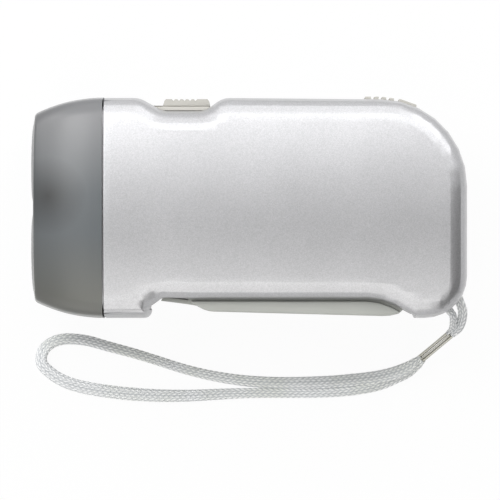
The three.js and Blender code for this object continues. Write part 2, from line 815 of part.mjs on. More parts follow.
function upperFittings() {
  const ceiling = innerFace + shell.wall / 2;
  const solids = [];
  const bores = [];
  const engaged = screw.length - screw.seat + fitGap * 2;
  screwsAt.forEach((at) => {
    solids.push(rod(at, screw.radius + fitGap + screw.wall, partingGap / 2, ceiling, 14));
    bores.push(bore(at, screw.radius + fitGap / 2, -overrun, engaged, 12));
  });
  solids.push(rod(pivot, shell.pinBossRadius, lever.wallHalfWidth + fitGap, ceiling, 14));
  bores.push(bore(pivot, lever.pinRadius + runGap, -overrun, lever.pinHalfLength + fitGap, 14));
  solids.push(rod(firstAxis, shell.axleBossRadius, firstWheel.z1 + fitGap, ceiling, 14));
  bores.push(bore(firstAxis, firstGear.axleRadius + runGap, -overrun, innerFace - fitGap, 12));
  solids.push(rod(secondAxis, shell.axleBossRadius, secondWheel.z1 + fitGap, ceiling, 14));
  bores.push(bore(secondAxis, secondGear.axleRadius + runGap, -overrun, innerFace - fitGap, 12));
  solids.push(rod(rotorAxis, shell.axleBossRadius, secondWheel.z1 + fitGap * 2, ceiling, 14));
  bores.push(bore(rotorAxis, flywheel.axleRadius + runGap, -overrun, innerFace - fitGap, 12));
  solids.push(...postBosses(1), lockPad());
  return { solids, bores };
}

// The strap's pin is held on either side of its slot by bosses that run into the corner of the case.
function postBosses(side) {
  const near = post.grooveHalf * side;
  const far = (post.halfLength + shell.wall) * side;
  return [rod(postAt, post.bossRadius, Math.min(near, far), Math.max(near, far), 14)];
}

function shellHalf(side) {
  const { outer, walls } = caseBody();
  const z0 = side > 0 ? partingGap / 2 : -half - overrun;
  const z1 = side > 0 ? half + overrun : -partingGap / 2;
  const keep = box(frontRun - overrun, tail + overrun, bottom - overrun, top + overrun, z0, z1);
  const fittings = side > 0 ? upperFittings() : lowerFittings();
  const ribbed = join(walls, ...fittings.solids.map((s) => s.intersect(outer)));
  const pinBore = bore(postAt, post.radius + runGap, -post.halfLength - fitGap, post.halfLength + fitGap, 12);
  const open = cut(ribbed, ...caseOpenings(), ...lockOpenings(), ...fittings.bores, pinBore);
  return open.intersect(keep);
}

// The head: sections like the case's own that draw in towards the lamp, with two round lenses in its front.
function headSection(x, depth) {
  const share = (seam - x) / head.length;
  const radius = Math.max(shell.rimRadius - depth * 0.8, shell.wall / 2);
  const halfHeight = top - head.frontNarrowing * share ** 2 - depth;
  const halfWidth = half - head.sideNarrowing * share ** 2 - depth;
  const quarter = rimLevels(halfWidth, shell.crown, radius, 2, 3).map(({ z, d }) => ({ y: halfHeight - d, z }));
  const right = [
    ...quarter.map(({ y, z }) => [-y, z]).reverse(),
    ...quarter.map(({ y, z }) => [-y, -z]).slice(1),
  ];
  const left = right.map(([y, z]) => [-y, -z]);
  return [...right, ...left].map(([y, z]) => new THREE.Vector3(x, y, z));
}

const steps = (from, to, count) =>
  Array.from({ length: count + 1 }, (_, i) => from + ((to - from) * i) / count);
const lensY = top - head.frontNarrowing - head.wall - lamp.cupGap - lamp.cupRadius;
const lensesAt = [lensY, -lensY];

// Bodies turned about an X axis at (y, 0), from [radius, x] pairs.
const turnedX = (y, profile, sides) =>
  turned({ x: 0, y: 0 }, profile, sides).rotate([0, quarterTurn, 0]).translate([0, y, 0]);

function headCap() {
  const front = -tail + lamp.lensBulge;
  const rounding = [0, 0.4, 1].map((s) => {
    const a = (s * Math.PI) / 2;
    return { x: front + head.frontRadius * (1 - Math.sin(a)), d: head.frontRadius * (1 - Math.cos(a)) };
  });
  const outer = loft([
    ...rounding.reverse().map(({ x, d }) => headSection(x, d)),
    ...steps(front + head.shoulder, seam, 4).map((x) => headSection(x, 0)),
  ]);
  const mouth = seam - neck.length - fitGap * 2;
  const straight = headSection(seam, head.wall);
  const inner = loft([
    ...steps(front + head.wall, mouth, 3).map((x) => headSection(x, head.wall)),
    ...[mouth + fitGap, seam + overrun].map((x) => straight.map((p) => p.clone().setX(x))),
  ]);
  const lenses = lensesAt.map((y) =>
    turnedX(y, [
      [0, front + head.wall / 2],
      [lamp.lensRadius, front + head.wall / 2],
      [lamp.lensRadius, front - lamp.lensRim / 2],
      [lamp.lensRadius - lamp.lensRim, front - lamp.lensRim],
      [lamp.lensRadius * 0.6, front - lamp.lensBulge * 0.8],
      [0, front - lamp.lensBulge],
    ], 26),
  );
  return join(cut(outer, inner), ...lenses);
}

const cupFront = -tail + lamp.lensBulge + head.wall + fitGap;
const cupBack = seam - neck.length - fitGap - lamp.flange;
const cupDepth = cupBack - cupFront;

function reflector() {
  const wallOut = lamp.cupWall;
  const cups = lensesAt.map((y) =>
    turnedX(y, [
      [lamp.cupBase, cupBack],
      [lamp.cupBase + (lamp.cupRadius - lamp.cupBase) * 0.55, cupBack - cupDepth * 0.3],
      [lamp.cupRadius - wallOut, cupFront],
      [lamp.cupRadius, cupFront],
      [lamp.cupRadius, cupFront + wallOut],
      [lamp.cupBase + wallOut + (lamp.cupRadius - lamp.cupBase) * 0.55, cupBack - cupDepth * 0.2],
      [lamp.cupBase + wallOut, cupBack + lamp.flange],
      [lamp.cupBase, cupBack + lamp.flange],
      [lamp.cupBase, cupBack],
    ], 22),
  );
  const edge = head.wall + lamp.seatGap;
  const plate = loft(
    [cupBack, cupBack + lamp.flange].map((x) =>
      headSection(Math.min(x, cupBack), edge).map((p) => p.clone().setX(x)),
    ),
  );
  const holes = lensesAt.map((at) =>
    turnedX(at, [
      [0, cupBack - overrun],
      [lamp.cupBase, cupBack - overrun],
      [lamp.cupBase, cupBack + overrun],
      [0, cupBack + overrun],
    ], 22),
  );
  return join(cut(plate, ...holes), ...cups);
}

const ledBack = cupBack + lamp.flange + fitGap + lamp.ledFlange;

function led(y) {
  const r = lamp.ledRadius;
  const tip = ledBack - lamp.ledLength;
  return turnedX(y, [
    [0, ledBack],
    [lamp.ledFlangeRadius, ledBack],
    [lamp.ledFlangeRadius, ledBack - lamp.ledFlange],
    [r, ledBack - lamp.ledFlange],
    [r, tip + r],
    [r * 0.92, tip + r * 0.6],
    [r * 0.7, tip + r * 0.28],
    [r * 0.38, tip + r * 0.07],
    [0, tip],
  ], 16);
}

function ledBoard() {
  const x = ledBack + fitGap;
  const y = top - neckInner - lamp.boardEdge;
  return box(x, x + lamp.boardThickness, -y, y, -lamp.boardHalfWidth, lamp.boardHalfWidth);
}

// The lever's lowest line between its knee and its heel, at a given x.
const leverPoints = {
  tip: { x: pivot.x - lever.tipFromPivot, y: bottom + lever.tipRise },
  knee: { x: pivot.x + lever.kneeFromPivot, y: bottom + lever.kneeRise },
  heel: { x: tail - lever.heelFromTail, y: bottom + lever.heelRise },
  end: { x: tail - lever.endFromTail, y: bottom + lever.endRise },
};
function gripLine(x) {
  const { knee, heel } = leverPoints;
  return knee.y + ((heel.y - knee.y) * (x - knee.x)) / (heel.x - knee.x);
}
const gripFloor = (x) => gripLine(x) + lever.skin;

// The grip that shows below the shells: its upper edge runs along theirs.
function grip() {
  const { knee, heel, end } = leverPoints;
  const upperY = recessY + shell.crown - lever.gripGap;
  const front = pivot.x + lever.gripFromPivot;
  const bend = slopeFrom - lever.gripGap;
  const side = rounded([
    { x: front, y: upperY - lever.tipThickness, r: 0 },
    { ...knee, r: lever.kneeRadius },
    { ...heel, r: lever.heelRadius },
    { ...end, r: lever.endRadius },
    { x: bend, y: upperY, r: recess.bendRadius },
    { x: front, y: upperY, r: 0 },
  ]);
  const upperHalf = toSolid(
    pillowGeometry(side, rimLevels(lever.gripHalfWidth, lever.gripCrown, lever.gripRim, 1, 2)),
  );
  return join(upperHalf, toSolid(mirrored(toGeometry(upperHalf))));
}

function squeezeLever() {
  const { tip, knee } = leverPoints;
  const wallTop = bottom + lever.wallRise;
  const wallEnd = tail - lever.wallEndFromTail;
  const front = { x: pivot.x - lever.eyeRadius, y: pivot.y + lever.eyeRadius };
  const w = lever.wallHalfWidth;
  const eyeCorner = lever.eyeRadius * 0.9;
  const walls = prism(
    rounded([
      { x: pivot.x + lever.pinRadius, y: gripLine(knee.x) + lever.tipThickness * 2, r: lever.tipThickness },
      { x: knee.x, y: knee.y + lever.tipThickness, r: lever.kneeRadius },
      { x: wallEnd, y: gripLine(wallEnd) + lever.tipThickness, r: lever.wallRadius },
      { x: wallEnd, y: wallTop, r: lever.wallRadius },
      { x: pivot.x + lever.eyeRadius * 2.4, y: wallTop, r: lever.wallRadius * 2 },
      { x: pivot.x + lever.eyeRadius, y: front.y, r: eyeCorner },
      { x: front.x, y: front.y, r: eyeCorner },
      { x: front.x, y: pivot.y - lever.pinRadius, r: lever.wallRadius },
    ]),
    -w,
    w,
  );
  const inside = w - lever.skin;
  const rear = wallEnd - lever.skin;
  const open = front.y + overrun;
  const frontFloor = pivot.y - lever.eyeRadius - lever.tipThickness;
  const hollow = prism(
    [
      { x: knee.x + lever.skin, y: gripFloor(knee.x + lever.skin) },
      { x: rear, y: gripFloor(rear) },
      { x: rear, y: open },
      { x: front.x - overrun, y: open },
      { x: front.x - overrun, y: frontFloor },
      { x: pivot.x + lever.pinRadius, y: frontFloor },
    ],
    -inside,
    inside,
  );
  const tongue = prism(
    rounded([
      { x: tip.x, y: tip.y, r: 0 },
      { x: pivot.x, y: tip.y - lever.tipThickness, r: lever.kneeRadius },
      { x: knee.x + lever.skin, y: knee.y + lever.tipThickness, r: 0 },
      { x: knee.x + lever.skin, y: knee.y + lever.tipThickness * 2, r: 0 },
      { x: pivot.x, y: tip.y + lever.tipThickness * 0.2, r: lever.kneeRadius },
      { x: tip.x + lever.tipThickness / 2, y: tip.y + lever.tipThickness, r: 0 },
    ]),
    -w,
    w,
  );
  const legZ = springRise * (-spring.turns / 2);
  const legWay = spring.wire * 2 + fitGap;
  const legSlot = box(tip.x - overrun, tip.x + spring.legSlot, bottom, pivot.y, legZ - legWay, legZ + legWay);
  const ribs = [1, -1].map((s) => {
    const x1 = footX.x1 - lever.wallRadius;
    const x0 = footX.x0 + lever.wallRadius;
    const near = s * (sectorTop + fitGap);
    const far = s * (sectorTop + fitGap + lever.ribWidth);
    return prism(
      [
        { x: x0, y: gripLine(x0) + lever.skin / 2 },
        { x: x1, y: gripLine(x1) + lever.skin / 2 },
        { x: x1, y: gripFloor(x1) + lever.ribHeight },
        { x: x0, y: gripFloor(x0) + lever.ribHeight },
      ],
      Math.min(near, far),
      Math.max(near, far),
    );
  });
  const pinBore = bore(pivot, lever.pinRadius + runGap, -w - overrun, w + overrun, 14);
  return cut(join(cut(join(walls, grip()), hollow), cut(tongue, legSlot), ...ribs), pinBore);
}

// Gear outlines: flanks are involutes sampled at root, pitch and tip.
const involute = (a) => Math.tan(a) - a;
const pressure = radians(tooth.pressureAngle);
function flankHalfAngle(gauge, teeth, radius, play) {
  const r = pitch(gauge, teeth);
  const a = Math.acos(Math.min(1, (r * Math.cos(pressure)) / radius));
  return Math.PI / (2 * teeth) + play / (4 * r) + involute(pressure) - involute(a);
}

function gearOutline(at, gauge, teeth, phase) {
  const r = pitch(gauge, teeth);
  const tip = r + tooth.addendum * gauge;
  const root = Math.max(r - tooth.dedendum * gauge, r * 0.6);
  const low = Math.max(root, r * Math.cos(pressure));
  const points = [];
  const polar = (radius, angle) =>
    points.push({ x: at.x + radius * Math.cos(angle), y: at.y + radius * Math.sin(angle) });
  for (let k = 0; k < teeth; k++) {
    const middle = phase + (k * 2 * Math.PI) / teeth;
    const flank = (teeth > tooth.fineTeeth ? [low, tip] : [low, r, tip]).map((radius) => ({
      radius,
      turn: flankHalfAngle(gauge, teeth, radius, -tooth.backlash),
    }));
    if (low > root) {
      flank.unshift({ radius: root, turn: flank[0].turn });
    }
    flank.forEach((f) => polar(f.radius, middle - f.turn));
    flank.reverse().forEach((f) => polar(f.radius, middle + f.turn));
  }
  return points;
}

// Phases that set each gear's tooth into the space of the gear before it.
function meshed(fromAxis, fromGauge, fromTeeth, fromPhase, direction, teeth) {
  const lean = radians(direction);
  const roll = ((fromPhase - lean) * fromTeeth) / teeth;
  return lean + Math.PI - roll + Math.PI / teeth;
}
const firstPhase = radians(firstGear.angle);
const secondPhase = meshed(
  firstAxis,
  firstGear.gauge,
  firstGear.teeth,
  firstPhase,
  secondGear.angle,
  secondGear.pinionTeeth,
);
const clutchPhase = meshed(
  secondAxis,
  secondGear.gauge,
  secondGear.teeth,
  secondPhase,
  clutch.angle,
  clutch.pinionTeeth,
);

const footX = { x1: pivot.x + sectorPitch * Math.cos(radians(sector.lowerAngle)) + sector.back * 0.6 };
footX.x0 = footX.x1 - sector.footLength;

function rackSector() {
  const inner = sectorPitch - tooth.addendum * sector.gauge;
  const root = sectorPitch + tooth.dedendum * sector.gauge;
  const outer = sectorPitch + sector.back;
  const toothStep = fullTurn / sector.teeth;
  const on = (radius, angle) => towards(pivot, radius, angle);
  const points = [];
  const gapAt = (k) => firstGear.angle + k * toothStep;
  points.push(on(inner, sector.lowerAngle));
  points.push(on(inner, (sector.lowerAngle + gapAt(sector.firstIndex - 1)) / 2));
  for (let k = sector.firstIndex; k <= sector.lastIndex; k++) {
    const flank = [inner, sectorPitch, root].map((radius) => ({
      radius,
      turn: degrees(flankHalfAngle(sector.gauge, sector.teeth, radius, tooth.backlash)),
    }));
    flank.forEach((f) => points.push(on(f.radius, gapAt(k) - f.turn)));
    flank.slice().reverse().forEach((f) => points.push(on(f.radius, gapAt(k) + f.turn)));
  }
  const end = gapAt(sector.lastIndex + 0.9);
  points.push(on(inner, end), on(outer, end));
  const peg = degrees(sector.pegHalfWidth / outer);
  const outerAngles = steps(end - toothStep, sector.lowerAngle, 14).filter(
    (a) => Math.abs(a - sector.pegAngle) > peg * 1.5,
  );
  const pegPoints = [
    on(outer, sector.pegAngle + peg),
    on(outer + sector.pegHeight * 0.8, sector.pegAngle + peg * 0.8),
    on(outer + sector.pegHeight, sector.pegAngle),
    on(outer + sector.pegHeight * 0.8, sector.pegAngle - peg * 0.8),
    on(outer, sector.pegAngle - peg),
  ];
  outerAngles.filter((a) => a > sector.pegAngle).forEach((a) => points.push(on(outer, a)));
  points.push(...pegPoints);
  outerAngles.filter((a) => a < sector.pegAngle).forEach((a) => points.push(on(outer, a)));
  const band = prism(points, -sectorTop, sectorTop);
  const seat = (x) => gripFloor(x) + fitGap;
  const footPlate = prism(
    [
      { x: footX.x0, y: seat(footX.x0) },
      { x: footX.x1, y: seat(footX.x1) },
      { x: footX.x1, y: seat(footX.x1) + sector.footHeight },
      on(inner, sector.lowerAngle + toothStep),
      { x: footX.x1 - sector.footHeight * 3, y: seat(footX.x1) + sector.footHeight * 1.4 },
      { x: footX.x0, y: seat(footX.x0) + sector.footHeight },
    ],
    -sectorTop,
    sectorTop,
  );
  const belowSeat = prism(
    [
      { x: footX.x0, y: seat(footX.x0) },
      { x: footX.x0, y: bottom - overrun },
      { x: tail, y: bottom - overrun },
      { x: tail, y: seat(tail) },
    ],
    -overrun,
    overrun,
  );
  return cut(join(band, footPlate), belowSeat);
}

const openRing = (at, outer, inner, z0, z1, sides) =>
  cut(rod(at, outer, z0, z1, sides), bore(at, inner, z0 - overrun, z1 + overrun, sides));
const axleBore = (at, radius) => bore(at, radius + runGap, -half, half, 12);
// A shallow ring-shaped hollow in the upper face of a wheel.
function hollowFace(at, tipRadius, z) {
  const disc = rod(at, tipRadius - web.rim, z - web.depth, z + web.depth, 20);
  return cut(disc, rod(at, web.hub, z - overrun, z + overrun, 14));
}

function gearOne() {
  const wheelRoot = pitch(firstGear.gauge, firstGear.teeth) - tooth.dedendum * firstGear.gauge;
  const pinion = prism(
    gearOutline(firstAxis, sector.gauge, firstGear.pinionTeeth, firstPhase),
    -sectorTop - fitGap,
    firstWheel.z0 + fitGap,
  );
  const wheel = prism(
    gearOutline(firstAxis, firstGear.gauge, firstGear.teeth, firstPhase),
    firstWheel.z0,
    firstWheel.z1,
  );
  return cut(
    join(pinion, wheel),
    hollowFace(firstAxis, wheelRoot, firstWheel.z1),
    axleBore(firstAxis, firstGear.axleRadius),
  );
}

function gearTwo() {
  const wheelRoot = pitch(secondGear.gauge, secondGear.teeth) - tooth.dedendum * secondGear.gauge;
  const pinion = prism(
    gearOutline(secondAxis, firstGear.gauge, secondGear.pinionTeeth, secondPhase),
    firstWheel.z0 - fitGap,
    secondWheel.z0 + fitGap,
  );
  const wheel = prism(
    gearOutline(secondAxis, secondGear.gauge, secondGear.teeth, secondPhase),
    secondWheel.z0,
    secondWheel.z1,
  );
  return cut(
    join(pinion, wheel),
    hollowFace(secondAxis, wheelRoot, secondWheel.z1),
    axleBore(secondAxis, secondGear.axleRadius),
  );
}

// The clutch: a pinion over a hub with three trailing pawls that sit inside the flywheel's ratchet.
function clutchPinion() {
  const z0 = discZ.z1 + fitGap;
  const z1 = collarTop - fitGap;
  const pinion = prism(
    gearOutline(rotorAxis, secondGear.gauge, clutch.pinionTeeth, clutchPhase),
    z0,
    secondWheel.z1 + fitGap,
  );
  const hub = rod(rotorAxis, clutch.hubRadius, z0, z1, 16);
  const pawls = Array.from({ length: clutch.pawls }, (_, i) => {
    const out = (i * fullTurn) / clutch.pawls;
    const root = towards(rotorAxis, clutch.hubRadius - clutch.pawlWidth / 2, out);
    const end = towards(rotorAxis, clutch.reach, out + clutch.pawlAngle);
    const lean = degrees(Math.atan2(end.y - root.y, end.x - root.x));
    const sideways = towards({ x: 0, y: 0 }, clutch.pawlWidth / 2, lean + quarterTurn);
    return prism(
      [
        { x: root.x - sideways.x, y: root.y - sideways.y },
        { x: end.x - sideways.x * 0.8, y: end.y - sideways.y * 0.8 },
        { x: end.x + sideways.x * 0.4, y: end.y + sideways.y * 0.4 },
        { x: root.x + sideways.x, y: root.y + sideways.y },
      ],
      z0,
      z1,
    );
  });
  return cut(join(pinion, hub, ...pawls), axleBore(rotorAxis, flywheel.axleRadius));
}

function flywheelBody() {
  const saw = [];
  for (let k = 0; k < flywheel.ratchetTeeth; k++) {
    const a = (k * fullTurn) / flywheel.ratchetTeeth;
    saw.push(towards(rotorAxis, flywheel.ratchetRadius - flywheel.ratchetDepth, a));
    saw.push(towards(rotorAxis, flywheel.ratchetRadius, a + 6));
    saw.push(towards(rotorAxis, flywheel.ratchetRadius - flywheel.ratchetDepth / 2, a + 18));
  }
  const disc = rod(rotorAxis, flywheel.radius, discZ.z0, discZ.z1, 40);
  const collar = rod(rotorAxis, flywheel.collarRadius, discZ.z0, collarTop, 32);
  const hub = rod(rotorAxis, flywheel.hubRadius, discZ.z0 - fitGap - magnet.length, discZ.z0 + fitGap, 16);
  const ratchet = prism(saw, discZ.z1, collarTop + overrun);
  const outer = flywheel.radius - weight.inset + fitGap;
  const inner = flywheel.radius - weight.inset - weight.width - fitGap;
  const channel = openRing(rotorAxis, outer, inner, discZ.z0 - overrun, discZ.z0 + weight.depth + fitGap, 36);
  return cut(join(disc, collar, hub), ratchet, channel, axleBore(rotorAxis, flywheel.axleRadius));
}

const flywheelWeight = () =>
  openRing(
    rotorAxis,
    flywheel.radius - weight.inset,
    flywheel.radius - weight.inset - weight.width,
    discZ.z0,
    discZ.z0 + weight.depth,
    36,
  );
const ringMagnet = () =>
  openRing(
    rotorAxis,
    magnet.radius,
    flywheel.hubRadius + fitGap / 2,
    discZ.z0 - fitGap - magnet.length,
    discZ.z0 - fitGap,
    32,
  );

// Two pole pieces with interleaved claws, and the wound bobbin that they clasp.
function poles(upper) {
  const { z0, z1 } = statorZ;
  const t = stator.clawThickness;
  const middle = (z0 + z1) / 2;
  const plateZ = upper ? [z1 - t, z1] : [z0, z0 + t];
  const wallZ = upper ? [middle + fitGap / 2, z1] : [z0, middle - fitGap / 2];
  const plate = openRing(rotorAxis, statorOuter, clawInner, plateZ[0], plateZ[1], 32);
  const wall = openRing(rotorAxis, statorOuter, statorOuter - t, wallZ[0], wallZ[1], 32);
  const reach = upper ? [z0 + t * 2, z1] : [z0, z1 - t * 2];
  const claws = Array.from({ length: stator.claws }, (_, i) => {
    const a = ((i + (upper ? 0.5 : 0)) * fullTurn) / stator.claws;
    const spread = degrees(stator.clawWidth / 2 / clawInner);
    return prism(
      [
        towards(rotorAxis, clawInner + t * 0.15, a - spread),
        towards(rotorAxis, clawOuter, a - spread),
        towards(rotorAxis, clawOuter, a + spread),
        towards(rotorAxis, clawInner + t * 0.15, a + spread),
      ],
      reach[0],
      reach[1],
    );
  });
  return join(plate, wall, ...claws);
}

function coil() {
  const t = stator.clawThickness;
  const gap = stator.windingGap;
  const outer = statorOuter - t - gap;
  const inner = clawOuter + gap;
  const z0 = statorZ.z0 + t + gap;
  const z1 = statorZ.z1 - t - gap;
  const profile = [
    [inner, z0],
    [outer, z0],
    [outer, z0 + t],
    [outer - t, z0 + t],
    [outer - t, z1 - t],
    [outer, z1 - t],
    [outer, z1],
    [inner, z1],
    [inner, z0],
  ];
  return turned(rotorAxis, profile, 28);
}

// Sliders
function switchKnob() {
  const x0 = seam + knob.fromSeam;
  const x1 = x0 + knob.length;
  const y1 = dipY + knob.height;
  const lean = knob.edge * knob.leanShare;
  const points = [
    { x: x0 - knob.flange, y: dipY },
    { x: x1 - knob.edge, y: dipY },
    { x: x1, y: dipY + knob.edge },
    { x: x1 - lean, y: y1 - knob.edge },
    { x: x1 - lean - knob.edge, y: y1 },
  ];
  for (let k = knob.ribs; k >= 0; k--) {
    const x = x0 + knob.ribsFrom + k * knob.ribPitch;
    points.push({ x: x + knob.ribPitch * knob.valleyShare, y: y1 });
    points.push({ x, y: y1 - knob.ribDepth });
    points.push({ x: x - knob.ribPitch * knob.valleyShare, y: y1 });
  }
  points.push(
    { x: x0 + lean + knob.edge, y: y1 },
    { x: x0 + lean, y: y1 - knob.edge },
    { x: x0, y: dipY + knob.flangeHeight },
    { x: x0 - knob.flange, y: dipY + knob.flangeHeight },
  );
  const body = prism(points, -knob.width / 2, knob.width / 2);
  const stem = knobStem();
  const wide = knob.stemWidth / 2;
  const leg = box(stem.x0, stem.x1, dipY - knob.stemReach, dipY + knob.height / 2, -wide, wide);
  return join(body, leg);
}

function slideSwitch() {
  const stem = knobStem();
  const x0 = (stem.x0 + stem.x1) / 2 - knob.travel / 2 - toggle.length / 2;
  const y1 = dipY - knob.stemReach + toggle.window;
  const body = box(x0, x0 + toggle.length, y1 - toggle.height, y1, -toggle.width / 2, toggle.width / 2);
  const window = box(
    stem.x0 - knob.travel - fitGap,
    stem.x1 + fitGap,
    dipY - knob.stemReach - fitGap,
    y1 + overrun,
    -knob.stemWidth / 2 - fitGap,
    knob.stemWidth / 2 + fitGap,
  );
  return cut(body, window);
}

function lockSlider() {
  const outer = slabOutline(-lock.proud, lock.width / 2);
  const under = slabOutline(lock.depth, lock.width);
  const blank = cut(
    outer.intersect(box(lockX.x0, lockX.x1, 0, top + overrun, -lock.width / 2, lock.width / 2)),
    under,
  );
  const grooves = [];
  for (let k = 0; k < lock.ribs; k++) {
    const x = lockX.x0 + lock.ribPitch * (k + 1) - lock.grooveWidth / 2;
    const width = k === lock.ribs - 1 ? lock.notchWidth : lock.grooveWidth;
    grooves.push(
      cut(
        box(x, x + width, 0, top + overrun, -lock.width, lock.width),
        slabOutline(lock.grooveDepth - lock.proud, lock.width * 2),
      ),
    );
  }
  const stem = box(
    finger.x0,
    finger.x1,
    finger.y0,
    top - lock.depth / 2 - shell.topFall,
    -lock.stemThickness / 2,
    lock.stemThickness / 2,
  );
  return join(cut(blank, ...grooves), stem);
}

// Small hardware
function caseScrew(at) {
  const head = rod(at, screw.headRadius, -screw.seat - screw.headHeight - fitGap, -screw.seat - fitGap, 16);
  const shank = rod(at, screw.radius, -screw.seat - fitGap * 2, screw.length - screw.seat, 12);
  const z = -screw.seat - screw.headHeight - fitGap;
  const slot = box(
    at.x - screw.headRadius * 2,
    at.x + screw.headRadius * 2,
    at.y - screw.slotWidth / 2,
    at.y + screw.slotWidth / 2,
    z - overrun,
    z + screw.slotDepth,
  );
  return cut(join(head, shank), slot);
}

function boardScrew(at) {
  const z = board.z + board.thickness + fitGap;
  const head = rod(at, smallScrew.headRadius, z, z + smallScrew.headHeight, 14);
  const shank = rod(at, smallScrew.radius, z - smallScrew.length, z + smallScrew.headHeight / 2, 10);
  const slot = box(
    at.x - smallScrew.headRadius * 2,
    at.x + smallScrew.headRadius * 2,
    at.y - screw.slotWidth / 2,
    at.y + screw.slotWidth / 2,
    z + smallScrew.headHeight / 2,
    z + overrun,
  );
  return cut(join(head, shank), slot);
}

const leverPin = () => rod(pivot, lever.pinRadius, -lever.pinHalfLength, lever.pinHalfLength, 14);
const axleOne = () =>
  rod(firstAxis, firstGear.axleRadius, -innerFace + fitGap * 2, innerFace - fitGap * 2, 12);
const axleTwo = () =>
  rod(secondAxis, secondGear.axleRadius, firstWheel.z0 - fitGap, innerFace - fitGap * 2, 12);
const rotorAxle = () =>
  rod(rotorAxis, flywheel.axleRadius, -innerFace + fitGap * 2, innerFace - fitGap * 2, 12);
const strapPin = () => rod(postAt, post.radius, -post.halfLength, post.halfLength, 12);

// A tube or ribbon along a path: the ring of each station lies in the plane across the path.
function swept(points, ringAt) {
  const sections = points.map((p, i) => {
    const ahead = points[Math.min(i + 1, points.length - 1)];
    const back = points[Math.max(i - 1, 0)];
    return ringAt(p, ahead.clone().sub(back).normalize(), i);
  });
  return loft(sections);
}

function loft(sections) {
  const n = sections[0].length;
  const positions = sections.flat().flatMap((p) => [p.x, p.y, p.z]);
  const index = [];
  for (let k = 0; k + 1 < sections.length; k++) {
    for (let i = 0; i < n; i++) {
      const [a, b] = [k * n + i, k * n + ((i + 1) % n)];
      index.push(a, b, b + n, a, b + n, a + n);
    }
  }
  const last = (sections.length - 1) * n;
  for (let i = 1; i + 1 < n; i++) {
    index.push(0, i + 1, i);
    index.push(last, last + i, last + i + 1);
  }
  const geometry = new THREE.BufferGeometry();
  geometry.setAttribute("position", new THREE.Float32BufferAttribute(positions, 3));
  geometry.setIndex(index);
  const solid = toSolid(geometry);
  return solid.volume() < 0 ? toSolid(reversed(geometry)) : solid;
}

// A round ring for wires: its frame is carried along from a fixed sideways direction.
function roundRing(radius, sides, sideways) {
  return (p, ahead) => {
    const u = new THREE.Vector3().crossVectors(ahead, sideways).normalize();
    const v = new THREE.Vector3().crossVectors(u, ahead).normalize();
    return Array.from({ length: sides }, (_, i) => {
      const a = (i / sides) * Math.PI * 2;
      return p.clone().addScaledVector(u, radius * Math.cos(a)).addScaledVector(v, radius * Math.sin(a));
    });
  };
}

// A flat braid's ring: six points, wide across the path and thin the other way.
function braidRing(width, thickness, sideways) {
  return (p, ahead) => {
    const u = new THREE.Vector3().crossVectors(ahead, sideways).normalize();
    const v = new THREE.Vector3().crossVectors(u, ahead).normalize();
    const edge = width / 2;
    const shoulder = width / 2 - thickness * 0.3;
    return [
      [edge, 0],
      [shoulder, 0.5],
      [-shoulder, 0.5],
      [-edge, 0],
      [-shoulder, -0.5],
      [shoulder, -0.5],
    ].map(([a, b]) =>
      p.clone().addScaledVector(u, a).addScaledVector(v, b * thickness),
    );
  };
}

function leverSpring() {
  const count = spring.turns * spring.steps;
  const from = spring.legAngle - quarterTurn;
  const points = [];
  for (let k = 0; k <= count; k++) {
    const p = towards(pivot, spring.radius, from - (fullTurn * (count - k)) / spring.steps);
    points.push(new THREE.Vector3(p.x, p.y, springRise * (k / spring.steps - spring.turns / 2)));
  }
  const end = points[points.length - 1];
  const leg = towards(end, spring.leg, spring.legAngle);
  const start = points[0];
  const back = towards(start, spring.backLeg, spring.legAngle - quarterTurn * 2);
  points.push(new THREE.Vector3(leg.x, leg.y, end.z + spring.wire / 2));
  points.unshift(new THREE.Vector3(back.x, back.y, start.z - spring.wire / 2));
  return swept(points, roundRing(spring.wire, spring.sides, new THREE.Vector3(0, 0, 1)));
}

// Electrics
const boardTop = top - board.fromTop;
const boardBottom = boardTop - board.height;
const cellAt = { x: seam + cell.fromSeam, y: boardBottom + cell.fromBoardEdge };
const boardScrewsAt = [
  { x: seam + board.frontFromSeam + smallScrew.fromCorner, y: boardTop - smallScrew.fromCorner },
  { x: seam + board.rearFromSeam - smallScrew.fromCorner, y: boardBottom + smallScrew.fromCorner },
];
const springStart = towards(pivot, spring.radius, spring.legAngle - quarterTurn);
const springStop = {
  x: springStart.x - spring.backLeg + spring.stopRadius * 0.6,
  y:
    springStart.y +
    (spring.backLeg - spring.stopRadius * 0.6) * Math.tan(radians(-spring.legAngle)) +
    spring.wire +
    fitGap +
    spring.stopRadius,
};
const springTop = spring.stopTop;
const onBoard = board.z + board.thickness + fitGap;

function circuitBoard() {
  const x0 = seam + board.frontFromSeam;
  const x1 = seam + board.rearFromSeam;
  const neckX = seam + board.neckFromSeam;
  const neckY = dipY - knob.stemReach + toggle.window - toggle.height - fitGap;
  const points = [
    { x: x0, y: boardBottom },
    { x: x1, y: boardBottom },
    { x: x1, y: neckY },
    { x: neckX, y: neckY },
    { x: neckX, y: boardTop },
    { x: x0, y: boardTop },
  ];
  const blank = prism(points, board.z, board.z + board.thickness);
  return cut(
    blank,
    ...boardScrewsAt.map((at) => bore(at, smallScrew.radius + fitGap, board.z - overrun, overrun, 12)),
  );
}

function buttonCell(i) {
  const z1 = board.z - fitGap - i * (cell.length + partingGap);
  const z0 = z1 - cell.length;
  const r = cell.radius;
  const edge = cell.edge;
  const profile = [
    [0, z0],
    [r - edge, z0],
    [r, z0 + edge],
    [r, z1 - edge],
    [r - edge, z1 - edge],
    [r - edge * 2, z1],
    [0, z1],
  ];
  return turned(cellAt, profile, 18);
}

